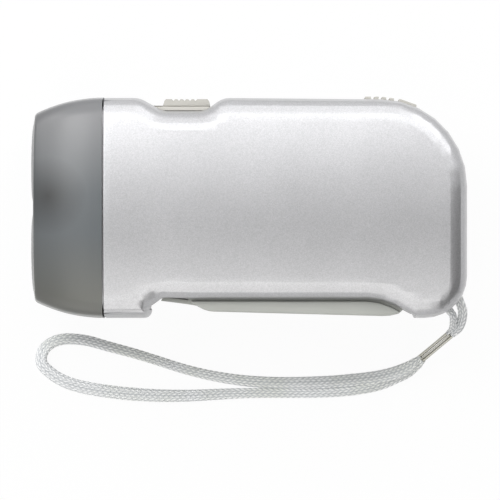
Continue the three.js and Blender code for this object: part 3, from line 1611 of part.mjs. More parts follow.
function diodeAt(i) {
  const x = seam + diode.fromSeam + i * diode.pitch;
  const y = boardBottom + diode.fromBoardEdge;
  const barrel = turned(
    { x: 0, y: 0 },
    [[0, 0], [diode.radius, 0], [diode.radius, diode.length], [0, diode.length]],
    12,
  );
  return barrel.rotate([-quarterTurn, 0, 0]).translate([x, y, onBoard + diode.radius]);
}

function capacitorCan() {
  const r = capacitor.radius;
  const l = capacitor.length;
  const edge = capacitor.edge;
  const profile = [
    [0, 0],
    [r - edge, 0],
    [r, edge],
    [r, edge * 2],
    [r - edge / 2, edge * 3],
    [r, edge * 4],
    [r, l - edge],
    [r - edge, l],
    [0, l],
  ];
  const can = turned({ x: 0, y: 0 }, profile, 16);
  return can
    .rotate([0, quarterTurn, 0])
    .translate([seam + capacitor.fromSeam, boardTop - capacitor.fromBoardTop, onBoard + r]);
}

const alongCurve = (route, count) =>
  new THREE.CatmullRomCurve3(
    route.map(([x, y, z]) => new THREE.Vector3(x, y, z)),
    false,
    "centripetal",
  ).getSpacedPoints(count);
const wireRun = (route) =>
  swept(
    alongCurve(route, wire.steps),
    roundRing(wire.radius, wire.sides, new THREE.Vector3(0.3, 0.2, 1).normalize()),
  );
const lampBack = ledBack + fitGap * 2 + lamp.boardThickness;
const boardFront = seam + board.frontFromSeam;
const boardRear = seam + board.rearFromSeam;
function lampWire(side) {
  const y = wire.lampSpread * side;
  const z = board.z + board.thickness / 2;
  const low = z - wire.lampDrop;
  const span = boardFront - fitGap - lampBack;
  return wireRun([
    [lampBack, y, low],
    [lampBack + span * 0.3, y, low + wire.lampDrop * 0.1],
    [lampBack + span * 0.5, y * 1.05, z - wire.lampDrop * 0.6],
    [lampBack + span * 0.7, y * 1.1, z - wire.radius],
    [lampBack + span, y * 1.15, z],
  ]);
}
function coilWire(offset) {
  const y = rotorAxis.y + offset;
  const x = rotorAxis.x - statorOuter - wire.radius - fitGap;
  const under = board.z - wire.radius - fitGap;
  const rise = under - statorZ.z0;
  return wireRun([
    [x, y, under - rise * 0.8],
    [x - wire.radius * 0.4, y, under - rise * 0.5],
    [x - wire.radius, y, under - wire.radius * 3],
    [x - wire.radius * 3, y, under - wire.radius * 0.4],
    [x - wire.coilReach, y, under],
  ]);
}

// The strap's routes are lists of places counted from its post. The wrist loop and the lower end of the
// ferrule have their heights above the surface that the torch lies on, the rest from the plane where the
// shells meet.
const wristRoute = [
  [-7.38, -15.21, 5.6], [-9.46, -16.51, 4.4], [-12.00, -17.51, 2.9], [-15.00, -18.34, 1.7],
  [-18.46, -18.91, 1.1], [-22.62, -19.35, 0.75], [-27.70, -19.75, 0.75], [-34.63, -19.97, 0.75],
  [-40.40, -19.91, 0.75], [-46.18, -19.56, 0.75], [-51.72, -18.86, 0.75], [-57.26, -17.81, 0.75],
  [-62.81, -16.35, 0.75], [-68.35, -14.58, 0.75], [-73.89, -12.89, 0.75], [-79.43, -11.39, 0.75],
  [-84.05, -10.10, 0.75], [-87.75, -9.63, 0.75], [-90.52, -9.73, 0.75], [-92.83, -10.53, 0.75],
  [-94.45, -11.92, 0.75], [-95.25, -13.77, 0.75], [-95.02, -15.62, 0.75], [-93.52, -17.23, 0.75],
  [-91.44, -18.73, 0.75], [-88.67, -20.03, 0.75], [-84.98, -21.04, 0.75], [-79.43, -21.97, 0.75],
  [-73.89, -22.57, 0.75], [-66.96, -22.96, 0.75], [-60.03, -22.94, 0.75], [-53.11, -22.61, 0.75],
  [-46.18, -22.36, 0.75], [-40.40, -22.36, 0.75], [-34.63, -22.41, 0.75], [-27.70, -22.26, 0.75],
  [-22.62, -21.84, 0.75], [-18.46, -21.19, 0.75], [-15.00, -20.26, 0.85], [-12.00, -18.86, 1.35],
  [-9.46, -17.26, 2.5], [-7.38, -15.21, 3.9],
];
const ferruleFrom = [-6.47, -14.41, 5.2];
const ferruleTo = [0.63, -8.21, -6.7];
const lugRoute = [
  [0.28, -7.76, -6.1], [0.03, -5.71, -3.7], [-0.27, -3.61, -1.4], [-1.27, -1.91, -0.1],
  [-1.85, -0.41, 0.3], [-1.52, 1.09, 0.4], [-0.27, 1.84, 0.4], [1.13, 1.54, 0.3], [1.88, 0.39, 0.1],
  [2.43, -1.21, -0.4], [2.98, -2.91, -1.6], [2.93, -4.81, -3.3], [2.13, -6.51, -4.9], [1.48, -7.36, -5.9],
];
const fromPost = (route, z0) =>
  route.map(([x, y, z]) => [postAt.x + x * least, postAt.y + y * least, z0 + z * least]);

function wristLoop() {
  const points = alongCurve(fromPost(wristRoute, -half), strap.steps);
  return swept(points, braidRing(strap.width, strap.thickness, new THREE.Vector3(0, 0, 1)));
}

function lugLoop() {
  const points = alongCurve(fromPost(lugRoute, 0), strap.lugSteps);
  const ring = braidRing(strap.lugThickness, strap.lugWidth, new THREE.Vector3(0, 0, 1));
  return swept(points, ring);
}

function strapFerrule() {
  const from = new THREE.Vector3(...fromPost([ferruleFrom], -half)[0]);
  const to = new THREE.Vector3(...fromPost([ferruleTo], 0)[0]);
  const shares = [0, 0.08, 0.45, 0.55, 0.92, 1];
  const tucks = [ferrule.corner, 0, 0, 0, 0, ferrule.corner];
  const points = shares.map((s) => from.clone().lerp(to, s));
  return swept(points, (p, ahead, i) => {
    const u = new THREE.Vector3().crossVectors(ahead, new THREE.Vector3(0, 0, 1)).normalize();
    const v = new THREE.Vector3().crossVectors(u, ahead).normalize();
    const w = ferrule.width / 2 - tucks[i] / 3;
    const h = ferrule.thickness / 2 - tucks[i] / 3;
    const dip = h * (1 - ferrule.pinch);
    const ring = [
      [w, -h * 0.5],
      [w, h * 0.5],
      [w * 0.6, h],
      [0, dip],
      [-w * 0.6, h],
      [-w, h * 0.5],
      [-w, -h * 0.5],
      [-w * 0.6, -h],
      [0, -dip],
      [w * 0.6, -h],
    ];
    return ring.map(([a, b]) => p.clone().addScaledVector(u, a).addScaledVector(v, b));
  });
}

// Materials
const look = (color, roughness, metalness = 0) => ({ color, roughness, metalness });
const looks = {
  silver: look("#c9cbcc", 0.42, 0.35),
  smoke: look("#8d9293", 0.3),
  grey: look("#adb0a8", 0.6),
  chrome: look("#dcdee0", 0.12, 1),
  steel: look("#a9acb0", 0.3, 1),
  nylon: look("#e6e3d8", 0.5),
  brass: look("#b79b5b", 0.35, 1),
  copper: look("#b06a3a", 0.4, 1),
  magnet: look("#54565a", 0.5, 0.4),
  board: look("#2f6b46", 0.6),
  led: look("#eef2f6", 0.1),
  black: look("#222426", 0.5),
  red: look("#a83430", 0.5),
  braid: look("#d9dad6", 0.9),
};

const torchGroup = new THREE.Group();
function add(name, solid, finish) {
  const material = new THREE.MeshStandardMaterial({ ...looks[finish], name: `${name}_${finish}` });
  const mesh = new THREE.Mesh(toGeometry(solid.translate([0, 0, half])), material);
  mesh.name = name;
  torchGroup.add(mesh);
}

add("case_upper", shellHalf(1), "silver");
add("case_lower", shellHalf(-1), "silver");
add("head_cap", headCap(), "smoke");
add("reflector", reflector(), "chrome");
add("led_upper", led(lensesAt[0]), "led");
add("led_lower", led(lensesAt[1]), "led");
add("led_board", ledBoard(), "board");
add("squeeze_lever", squeezeLever(), "grey");
add("rack_sector", rackSector(), "nylon");
add("lever_pin", leverPin(), "steel");
add("lever_spring", leverSpring(), "steel");
add("lock_slider", lockSlider(), "silver");
add("switch_knob", switchKnob(), "grey");
add("slide_switch", slideSwitch(), "black");
add("gear_one", gearOne(), "nylon");
add("axle_one", axleOne(), "steel");
add("gear_two", gearTwo(), "nylon");
add("axle_two", axleTwo(), "steel");
add("clutch_pinion", clutchPinion(), "nylon");
add("flywheel", flywheelBody(), "grey");
add("flywheel_weight", flywheelWeight(), "steel");
add("ring_magnet", ringMagnet(), "magnet");
add("rotor_axle", rotorAxle(), "steel");
add("pole_upper", poles(true), "steel");
add("pole_lower", poles(false), "steel");
add("coil", coil(), "copper");
add("circuit_board", circuitBoard(), "board");
Array.from({ length: cell.count }, (_, i) => add(`button_cell_${i + 1}`, buttonCell(i), "steel"));
Array.from({ length: diode.count }, (_, i) => add(`diode_${i + 1}`, diodeAt(i), "black"));
add("capacitor", capacitorCan(), "black");
add("lamp_wire_red", lampWire(1), "red");
add("lamp_wire_black", lampWire(-1), "black");
add("coil_wire_red", coilWire(wire.coilSpread), "red");
add("coil_wire_black", coilWire(-wire.coilSpread), "black");
screwsAt.forEach((at, i) => add(`case_screw_${i + 1}`, caseScrew(at), "steel"));
boardScrewsAt.forEach((at, i) => add(`board_screw_${i + 1}`, boardScrew(at), "steel"));
add("strap_pin", strapPin(), "steel");
add("strap_ferrule", strapFerrule(), "brass");
add("wrist_loop", wristLoop(), "braid");
add("lug_loop", lugLoop(), "braid");

export default torchGroup;
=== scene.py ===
"""The looks of the squeeze torch: light, finishes, shells, smoked head, moving pieces, ferrule and strap."""

import math

import bmesh
import bpy
from mathutils import Matrix, Vector


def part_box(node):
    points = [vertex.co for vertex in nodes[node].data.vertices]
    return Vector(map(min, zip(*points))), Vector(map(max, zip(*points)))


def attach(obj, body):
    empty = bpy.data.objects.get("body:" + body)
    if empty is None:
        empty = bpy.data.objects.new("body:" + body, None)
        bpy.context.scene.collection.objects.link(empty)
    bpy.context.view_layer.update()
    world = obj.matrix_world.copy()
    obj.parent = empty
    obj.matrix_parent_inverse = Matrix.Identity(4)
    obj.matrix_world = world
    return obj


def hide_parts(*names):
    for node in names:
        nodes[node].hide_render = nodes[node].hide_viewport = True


MM = 0.001
X, Y, Z = range(3)

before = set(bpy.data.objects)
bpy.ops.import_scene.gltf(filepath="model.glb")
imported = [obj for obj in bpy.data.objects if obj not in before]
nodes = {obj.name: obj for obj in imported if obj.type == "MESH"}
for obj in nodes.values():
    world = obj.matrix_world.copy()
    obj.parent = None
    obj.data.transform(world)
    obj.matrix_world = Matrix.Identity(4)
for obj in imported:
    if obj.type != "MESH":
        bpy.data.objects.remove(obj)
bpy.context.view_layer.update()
scene = bpy.context.scene

# The housing's sizes, from the box of the CAD head, to a thousandth of a millimetre.
head_low, head_high = ([round(value, 6) for value in corner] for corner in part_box("head_cap"))
SEAM_X = head_high[X]  # where the head meets the shells
HEAD_LENGTH = SEAM_X - head_low[X]
HALF_HEIGHT = head_high[Y]  # from the torch's middle line to either long edge
MIDDLE = head_high[Z] / 2  # height of the plane where the two shells meet
HALF = MIDDLE  # from that plane to either broad face
CROWN = 2.4 * MM  # how far the broad faces fall away towards the long edges


def mm(x, y, z):
    """A place given in millimetres, in metres."""
    return Vector((x, y, z)) * MM


def tone(red, green, blue):
    """A colour seen as these 0 to 255 values, as linear light."""
    def linear(value):
        share = value / 255
        if share <= 0.04045:
            return share / 12.92
        return ((share + 0.055) / 1.055) ** 2.4

    return (linear(red), linear(green), linear(blue), 1)


# Steps that the materials are made of

def feed(tree, socket, value):
    """Links a socket to the one that feeds it, or sets it to a plain number or colour."""
    if isinstance(value, bpy.types.NodeSocket):
        tree.links.new(value, socket)
    else:
        socket.default_value = value


def joined(tree, operation, one, other):
    """One number worked out from two."""
    made = tree.nodes.new("ShaderNodeMath")
    made.operation = operation
    feed(tree, made.inputs[0], one)
    feed(tree, made.inputs[1], other)
    return made.outputs[0]


def spread(tree, value, low, high, out_low=0.0, out_high=1.0):
    """The value's run from low to high, stretched to run from out_low to out_high."""
    made = tree.nodes.new("ShaderNodeMapRange")
    made.inputs["From Min"].default_value = low
    made.inputs["From Max"].default_value = high
    feed(tree, made.inputs["To Min"], out_low)
    feed(tree, made.inputs["To Max"], out_high)
    feed(tree, made.inputs["Value"], value)
    return made.outputs["Result"]


def blended(tree, share, one, other):
    """One colour where the share is 0, the other where it is 1."""
    made = tree.nodes.new("ShaderNodeMix")
    made.data_type = "RGBA"
    feed(tree, made.inputs["Factor"], share)
    for name, colour in (("A", one), ("B", other)):
        feed(tree, next(s for s in made.inputs if s.name == name and s.type == "RGBA"), colour)
    return next(s for s in made.outputs if s.type == "RGBA")


def scaled(tree, colour, factor):
    """The colour, darker or lighter by the factor."""
    made = tree.nodes.new("ShaderNodeVectorMath")
    made.operation = "SCALE"
    tree.links.new(colour, made.inputs[0])
    tree.links.new(factor, made.inputs["Scale"])
    return made.outputs[0]


def object_place(tree):
    return tree.nodes.new("ShaderNodeTexCoord").outputs["Object"]


def noise(tree, place, scale, detail=2.0):
    """Soft noise over the surface, from 0 to 1."""
    made = tree.nodes.new("ShaderNodeTexNoise")
    made.inputs["Detail"].default_value = detail
    feed(tree, made.inputs["Scale"], scale)
    tree.links.new(place, made.inputs["Vector"])
    return made.outputs["Fac"]


def bump_surface(tree, shader, height, strength, depth):
    bump = tree.nodes.new("ShaderNodeBump")
    bump.inputs["Strength"].default_value = strength
    bump.inputs["Distance"].default_value = depth
    tree.links.new(height, bump.inputs["Height"])
    tree.links.new(bump.outputs["Normal"], shader.inputs["Normal"])


def node_of(tree, kind):
    return next(n for n in tree.nodes if n.type == kind)


def plain_material(name):
    """A new material with its node tree and its shader."""
    material = bpy.data.materials.new(name)
    material.use_nodes = True
    tree = material.node_tree
    return material, tree, node_of(tree, "BSDF_PRINCIPLED")


def placed_object(name, bm, material):
    """An object at the origin with this mesh and this one material."""
    mesh = bpy.data.meshes.new(name)
    bm.to_mesh(mesh)
    bm.free()
    mesh.materials.append(material)
    made = bpy.data.objects.new(name, mesh)
    scene.collection.objects.link(made)
    return made


# Camera

def place_camera():
    """Looks straight down on the torch, framed as in the photo."""
    distance = 1.0
    frame_width = 115.5 * MM
    sensor = 36
    near_clip = 0.01
    far_clip = 20
    aim = mm(0.1, -9.7, 19)
    data = bpy.data.cameras.new("photo_camera")
    data.sensor_width = sensor
    data.lens = sensor * distance / frame_width
    data.clip_start = near_clip
    data.clip_end = far_clip
    camera = bpy.data.objects.new("photo_camera", data)
    camera.location = aim + Vector((0, 0, distance))
    scene.collection.objects.link(camera)
    scene.camera = camera


# Light and stage

WHITE = (1, 1, 1)
WARM = (1, 0.985, 0.95)
WHITE_STRENGTH = 1  # at which a white background shows as plain white

# Each light's name, place, width and length in metres, watts and colour.
LIGHTS = [
    ("wall_back", (-0.05, 0.55, 0.45), 1.3, 0.8, 3.1, WHITE),
    ("window_back", (-0.05, 0.42, 0.9), 0.9, 0.35, 1.55, WHITE),
    ("window_left", (-0.35, 0.25, 0.75), 0.35, 0.35, 1.35, WHITE),
    ("wall_right", (0.38, 0.42, 0.3), 0.4, 0.4, 0.95, WHITE),
    ("wall_left", (-0.44, 0.3, 0.3), 0.3, 0.3, 0.6, WHITE),
    ("window_front", (-0.1, -0.36, 0.8), 0.7, 0.3, 0.9, WARM),
    ("wall_front", (0.05, -0.55, 0.32), 1.2, 0.55, 1.9, WARM),
]


def soft_light(name, place, width, length, watts, colour):
    """A broad light that points at the middle of the torch."""
    aim = Vector((0, 0, 0.02))
    data = bpy.data.lights.new(name, "AREA")
    data.shape = "RECTANGLE"
    data.size = width
    data.size_y = length
    data.energy = watts
    data.color = colour
    light = bpy.data.objects.new(name, data)
    light.location = place
    light.rotation_euler = (aim - Vector(place)).to_track_quat("-Z", "Y").to_euler()
    scene.collection.objects.link(light)


def seen_directly(tree):
    """1 for the camera's, mirror and glass rays, which see the white background."""
    rays = tree.nodes.new("ShaderNodeLightPath").outputs
    mirrored = joined(tree, "MAXIMUM", rays["Is Camera Ray"], rays["Is Glossy Ray"])
    return joined(tree, "MAXIMUM", mirrored, rays["Is Transmission Ray"])


def light_world():
    """A dim room for the object and a white one for the rays that see the background."""
    fill = 0.4
    world = bpy.data.worlds.new("studio")
    scene.world = world
    world.use_nodes = True
    tree = world.node_tree
    tree.nodes.clear()
    mix = tree.nodes.new("ShaderNodeMixShader")
    output = tree.nodes.new("ShaderNodeOutputWorld")
    tree.links.new(seen_directly(tree), mix.inputs[0])
    for place, strength in ((1, fill), (2, WHITE_STRENGTH)):
        background = tree.nodes.new("ShaderNodeBackground")
        background.inputs["Color"].default_value = (*WHITE, 1)
        background.inputs["Strength"].default_value = strength
        tree.links.new(background.outputs[0], mix.inputs[place])
    tree.links.new(mix.outputs[0], output.inputs[0])


def lay_floor():
    """White paper that keeps the torch's shadow and otherwise shows as the white background."""
    half_side = 3
    whiteness = 0.95
    paper_tone = (0.85, 0.85, 0.85, 1)
    material = bpy.data.materials.new("white_floor")
    material.use_nodes = True
    tree = material.node_tree
    tree.nodes.clear()
    paper = tree.nodes.new("ShaderNodeBsdfDiffuse")
    paper.inputs["Color"].default_value = paper_tone
    glow = tree.nodes.new("ShaderNodeEmission")
    glow.inputs["Strength"].default_value = WHITE_STRENGTH
    mix = tree.nodes.new("ShaderNodeMixShader")
    output = tree.nodes.new("ShaderNodeOutputMaterial")
    tree.links.new(joined(tree, "MULTIPLY", seen_directly(tree), whiteness), mix.inputs[0])
    tree.links.new(paper.outputs[0], mix.inputs[1])
    tree.links.new(glow.outputs[0], mix.inputs[2])
    tree.links.new(mix.outputs[0], output.inputs[0])
    bm = bmesh.new()
    bmesh.ops.create_grid(bm, x_segments=1, y_segments=1, size=half_side)
    placed_object("floor", bm, material)


def dark_card(name, place, width, length, turn):
    """A black card out of the camera's sight, level or turned about Y, that the silver paint reflects."""
    black = (0.02, 0.02, 0.02, 1)
    half_unit = 0.5
    material, _, shader = plain_material(name)
    shader.inputs["Base Color"].default_value = black
    shader.inputs["Specular IOR Level"].default_value = 0
    bm = bmesh.new()
    bmesh.ops.create_grid(bm, x_segments=1, y_segments=1, size=half_unit)
    bmesh.ops.scale(bm, vec=(width, length, 1), verts=bm.verts)
    bmesh.ops.rotate(bm, matrix=Matrix.Rotation(math.radians(turn), 3, "Y"), verts=bm.verts)
    bmesh.ops.translate(bm, vec=place, verts=bm.verts)
    card = placed_object(name, bm, material)
    card.visible_camera = False


scene.view_settings.view_transform = "Standard"
place_camera()
light_world()
lay_floor()
dark_card("right_flag", place=(0.11, -0.145, 0.125), width=0.16, length=0.33, turn=90)
dark_card("camera_hood", place=(0, -0.06, 0.95), width=0.8, length=0.17, turn=0)
for light_values in LIGHTS:
    soft_light(*light_values)


# Finishes

def moulded_group():
    """The grain of every moulded or cast finish: it clouds the colour broadly and breaks up the gloss."""
    cloud_scale = 60
    cloud_low = 0.35
    cloud_high = 0.65
    grain_low = 0.3
    grain_high = 0.7
    grain_detail = 3
    tree = bpy.data.node_groups.new("moulded_grain", "ShaderNodeTree")
    for name, kind, usual in (
        ("Base", "NodeSocketColor", (0.7, 0.7, 0.7, 1)),
        ("Cloud", "NodeSocketColor", (0.6, 0.6, 0.6, 1)),
        ("Grain Scale", "NodeSocketFloat", 4000.0),
        ("Smooth", "NodeSocketFloat", 0.3),
        ("Rough", "NodeSocketFloat", 0.5),
    ):
        tree.interface.new_socket(name, in_out="INPUT", socket_type=kind).default_value = usual
    for name, kind in (
        ("Color", "NodeSocketColor"),
        ("Roughness", "NodeSocketFloat"),
        ("Height", "NodeSocketFloat"),
    ):
        tree.interface.new_socket(name, in_out="OUTPUT", socket_type=kind)
    given = tree.nodes.new("NodeGroupInput").outputs
    result = tree.nodes.new("NodeGroupOutput").inputs
    place = object_place(tree)
    grain = noise(tree, place, given["Grain Scale"], grain_detail)
    cloud = spread(tree, noise(tree, place, cloud_scale), cloud_low, cloud_high)
    tree.links.new(blended(tree, cloud, given["Base"], given["Cloud"]), result["Color"])
    rough = spread(tree, grain, grain_low, grain_high, given["Smooth"], given["Rough"])
    tree.links.new(rough, result["Roughness"])
    tree.links.new(grain, result["Height"])
    return tree


MOULDED = moulded_group()


def moulded(name, base, cloud, grain, rough, bump=0.15, metallic=0.0, coat=0.0, clear=0.0):
    """A moulded or cast finish whose two tones cloud into each other; rough holds its least and its most."""
    grain_depth = 0.03 * MM
    material, tree, shader = plain_material(name)
    group = tree.nodes.new("ShaderNodeGroup")
    group.node_tree = MOULDED
    group.inputs["Base"].default_value = tone(*base)
    group.inputs["Cloud"].default_value = tone(*cloud)
    group.inputs["Grain Scale"].default_value = grain
    group.inputs["Smooth"].default_value = rough[0]
    group.inputs["Rough"].default_value = rough[1]
    tree.links.new(group.outputs["Color"], shader.inputs["Base Color"])
    tree.links.new(group.outputs["Roughness"], shader.inputs["Roughness"])
    bump_surface(tree, shader, group.outputs["Height"], bump, grain_depth)
    shader.inputs["Metallic"].default_value = metallic
    shader.inputs["Coat Weight"].default_value = coat
    shader.inputs["Transmission Weight"].default_value = clear
    return material


def flaked_paint():
    """Silver paint: the moulded grain with small flakes, each a little brighter or duller than the rest."""
    flakes_to_metre = 7000
    dullest = 0.88
    brightest = 1.12
    material = moulded(
        "case_silver", (180, 180, 182), (176, 176, 178), 2600, rough=(0.31, 0.38), bump=0.14, metallic=0.66,
    )
    tree = material.node_tree
    flakes = tree.nodes.new("ShaderNodeTexVoronoi")
    flakes.inputs["Scale"].default_value = flakes_to_metre
    tree.links.new(object_place(tree), flakes.inputs["Vector"])
    apart = tree.nodes.new("ShaderNodeSeparateColor")
    tree.links.new(flakes.outputs["Color"], apart.inputs[0])
    glint = spread(tree, apart.outputs[0], 0.0, 1.0, dullest, brightest)
    colour = scaled(tree, node_of(tree, "GROUP").outputs["Color"], glint)
    tree.links.new(colour, node_of(tree, "BSDF_PRINCIPLED").inputs["Base Color"])
    return material


def smoked_plastic_painted_shade():
    """Smoky plastic with painted light and shade: a painted highlight towards the top of the head, painted
    warm light towards its bottom, painted shade towards its front, and a painted shadow round one point where
    the space behind the plastic is dim.
    """
    # Painted shade: over this run the colour darkens towards the head's front, down to the share below.
    front = -49.5 * MM
    back = -38 * MM
    painted_front_shade_share = 0.74
    # Painted shadow: the colour darkens round this point, for the space behind the plastic that lies in
    # shade.
    painted_shadow_centre = mm(-45.8, 2.6, 38)
    painted_shadow_radius = 9.0 * MM
    painted_shadow_share = 0.1
    # Painted light: a warmer tone towards the bottom of the head and a lighter, painted highlight tone
    # towards its top.
    painted_warm_lower_tone = tone(86, 87, 82)
    middle_values = (84, 89, 92)
    painted_highlight_tone = tone(106, 107, 109)
    lower_run = (-20 * MM, -6 * MM)
    upper_run = (3 * MM, 20 * MM)
    coat_roughness = 0.35
    material = moulded("head_smoke", middle_values, middle_values, 120, rough=(0.3, 0.36), bump=0.0, coat=0.5)
    tree = material.node_tree
    shader = node_of(tree, "BSDF_PRINCIPLED")
    apart = tree.nodes.new("ShaderNodeSeparateXYZ")
    tree.links.new(object_place(tree), apart.inputs[0])
    along = apart.outputs[X]
    up = apart.outputs[Y]
    flat_place = tree.nodes.new("ShaderNodeCombineXYZ")
    flat_place.inputs[Z].default_value = painted_shadow_centre.z
    tree.links.new(along, flat_place.inputs[X])
    tree.links.new(up, flat_place.inputs[Y])
    away = tree.nodes.new("ShaderNodeVectorMath")
    away.operation = "DISTANCE"
    away.inputs[1].default_value = painted_shadow_centre
    tree.links.new(flat_place.outputs[0], away.inputs[0])
    # Painted shade, darker towards the head's front.
    depth = spread(tree, along, front, back, painted_front_shade_share)
    # Painted shadow round that point behind the plastic.
    shadow = spread(tree, away.outputs["Value"], 0.0, painted_shadow_radius, painted_shadow_share)
    # Painted light along the head's height: warmer below, a painted highlight above.
    painted_light_colour = blended(tree, spread(tree, up, *lower_run), painted_warm_lower_tone, node_of(tree, "GROUP").outputs["Color"])
    painted_light_colour = blended(tree, spread(tree, up, *upper_run), painted_light_colour, painted_highlight_tone)
    # The colour with all its painted light and shade.
    painted_light_and_shade_colour = scaled(tree, painted_light_colour, joined(tree, "MULTIPLY", depth, shadow))
    tree.links.new(painted_light_and_shade_colour, shader.inputs["Base Color"])
    shader.inputs["Coat Roughness"].default_value = coat_roughness
    return material


def braid_material():
    """Plaited polyester: pale stitches with painted shade darkening the valleys between them, a faint olive
    cast in places and fine fibres.
    """
    # Painted shade: the valleys between the stitches take this darker tone.
    painted_valley_shade_tone = tone(178, 182, 186)
    pale_tone = tone(253, 254, 255)
    olive_tone = tone(244, 246, 242)
    cast_scale = 90
    cast_low = 0.4
    cast_high = 0.6
    painted_shade_fade_height = 0.75
    roughness = 0.6
    sheen = 0.2
    fibre_scale = 9000
    fibre_detail = 3.0
    fibre_strength = 0.3
    fibre_depth = 0.03 * MM
    material, tree, shader = plain_material("strap_braid")
    height = tree.nodes.new("ShaderNodeAttribute")
    height.attribute_name = "stitch_height"
    place = object_place(tree)
    cast = spread(tree, noise(tree, place, cast_scale), cast_low, cast_high)
    stitches = blended(tree, cast, pale_tone, olive_tone)
    # Painted shade: the colour darkens from the stitches' tops down into the valleys between them.
    raised = spread(tree, height.outputs["Fac"], 0.0, painted_shade_fade_height)
    tree.links.new(blended(tree, raised, painted_valley_shade_tone, stitches), shader.inputs["Base Color"])
    shader.inputs["Roughness"].default_value = roughness
    shader.inputs["Sheen Weight"].default_value = sheen
    fibres = noise(tree, place, fibre_scale, fibre_detail)
    bump_surface(tree, shader, fibres, fibre_strength, fibre_depth)
    return material


case_paint = flaked_paint()
smoked_cap = smoked_plastic_painted_shade()

# Each finish's name, two tones, grains to a metre, least and most rough, and what else it has.
lamp_window = moulded(
    "head_window", (214, 218, 220), (206, 210, 212), 900, (0.04, 0.08), bump=0.0, clear=0.92,
)
grip_plastic = moulded("grip_grey", (186, 188, 183), (181, 183, 178), 3000, (0.45, 0.6), bump=0.2)
button_plastic = moulded("button_grey", (190, 188, 181), (184, 182, 175), 3000, (0.4, 0.55))
cup_mirror = moulded(
    "cup_chrome", (225, 227, 230), (215, 218, 222), 500, (0.04, 0.1), bump=0.02, metallic=1.0,
)
pin_metal = moulded("pin_steel", (200, 202, 205), (180, 182, 186), 3500, (0.2, 0.38), bump=0.1, metallic=1.0)
gear_plastic = moulded("gear_nylon", (238, 236, 228), (228, 226, 217), 2500, (0.35, 0.5), bump=0.08)
ferrule_metal = moulded(
    "ferrule_brass", (200, 199, 195), (170, 168, 157), 700, (0.2, 0.34), bump=0.05, metallic=0.8,
)
coil_winding = moulded(
    "coil_copper", (198, 128, 84), (172, 104, 66), 5000, (0.25, 0.4), bump=0.4, metallic=0.9,
)
magnet_metal = moulded("magnet_dark", (92, 94, 97), (76, 78, 82), 3000, (0.4, 0.6), bump=0.25, metallic=0.6)
board_laminate = moulded("board_green", (58, 118, 80), (50, 104, 70), 1500, (0.25, 0.4), bump=0.1, coat=0.4)
lamp_epoxy = moulded("lamp_clear", (244, 248, 252), (238, 243, 248), 600, (0.03, 0.08), bump=0.01, clear=0.9)
black_plastic = moulded("part_black", (44, 46, 49), (36, 38, 41), 3000, (0.35, 0.55))
red_sleeve = moulded("wire_red", (176, 44, 40), (160, 36, 34), 2500, (0.4, 0.55), bump=0.1)
strap_finish = braid_material()

SLOT_FINISHES = {
    "case_silver": case_paint,
    "head_smoke": smoked_cap,
    "grip_grey": grip_plastic,
    "cup_chrome": cup_mirror,
    "pin_steel": pin_metal,
    "gear_nylon": gear_plastic,
    "ferrule_brass": ferrule_metal,
    "coil_copper": coil_winding,
    "magnet_dark": magnet_metal,
    "board_green": board_laminate,
    "lamp_clear": lamp_epoxy,
    "part_black": black_plastic,
    "wire_red": red_sleeve,
    "strap_braid": strap_finish,
}


def finish_cad_nodes():
    for node in nodes.values():
        for slot in node.material_slots:
            slot.material = SLOT_FINISHES[slot.material.name.split(".")[0]]


finish_cad_nodes()


# Steps that the pieces are made of

def new_piece(name, bm, material, body):
    piece = placed_object(name, bm, material)
    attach(piece, body)
    return piece


def shade_by_angle(bm, degrees):
    """Shades the mesh round, apart from the edges that turn by this angle or more."""
    limit = math.radians(degrees)
    for face in bm.faces:
        face.smooth = True
    for edge in bm.edges:
        edge.smooth = len(edge.link_faces) == 2 and edge.calc_face_angle(0) < limit


def round_edges(bm, edges, width, segments):
    bmesh.ops.bevel(
        bm, geom=edges, offset=width, affect="EDGES", segments=segments, profile=0.5, material=-1,
    )


def cut_at(bm, axis, place):
    """Cuts the whole mesh by the plane that crosses this axis at this place."""
    merging = 0.0001 * MM
    point = Vector((0, 0, 0))
    point[axis] = place
    normal = Vector((0, 0, 0))
    normal[axis] = 1
    geometry = bm.verts[:] + bm.edges[:] + bm.faces[:]
    bmesh.ops.bisect_plane(bm, geom=geometry, dist=merging, plane_co=point, plane_no=normal)


def cut_across(bm, axis, first, last, count):
    """Cuts the whole mesh by evenly spaced planes, so that a broad flat face can be curved."""
    for k in range(count + 1):
        cut_at(bm, axis, first + (last - first) * k / count)


def merged_copy(node):
    """The mesh of a CAD node with its doubled corners merged and its flat faces made whole."""
    weld = 0.002 * MM
    flat = math.radians(0.3)
    bm = bmesh.new()
    bm.from_mesh(nodes[node].data)
    bmesh.ops.remove_doubles(bm, verts=bm.verts, dist=weld)
    bmesh.ops.dissolve_limit(bm, angle_limit=flat, verts=bm.verts, edges=bm.edges)
    return bm


# Shells

def crown_faces(bm):
    """Lets the broad faces fall away towards the long edges, while the sides of the lever's slot stay."""
    still = 13.6 * MM
    uncut_edge = 0.4 * MM
    half_run = 48 * MM
    rows = 26
    columns = 40
    cut_across(bm, Y, -HALF_HEIGHT + uncut_edge, HALF_HEIGHT - uncut_edge, rows)
    cut_across(bm, X, -half_run, half_run, columns)
    for vert in bm.verts:
        above = vert.co.z - MIDDLE
        reach = min(max((abs(above) - still) / (HALF - still), 0), 1)
        fall = CROWN * (vert.co.y / HALF_HEIGHT) ** 2 * reach
        vert.co.z -= math.copysign(fall, above)


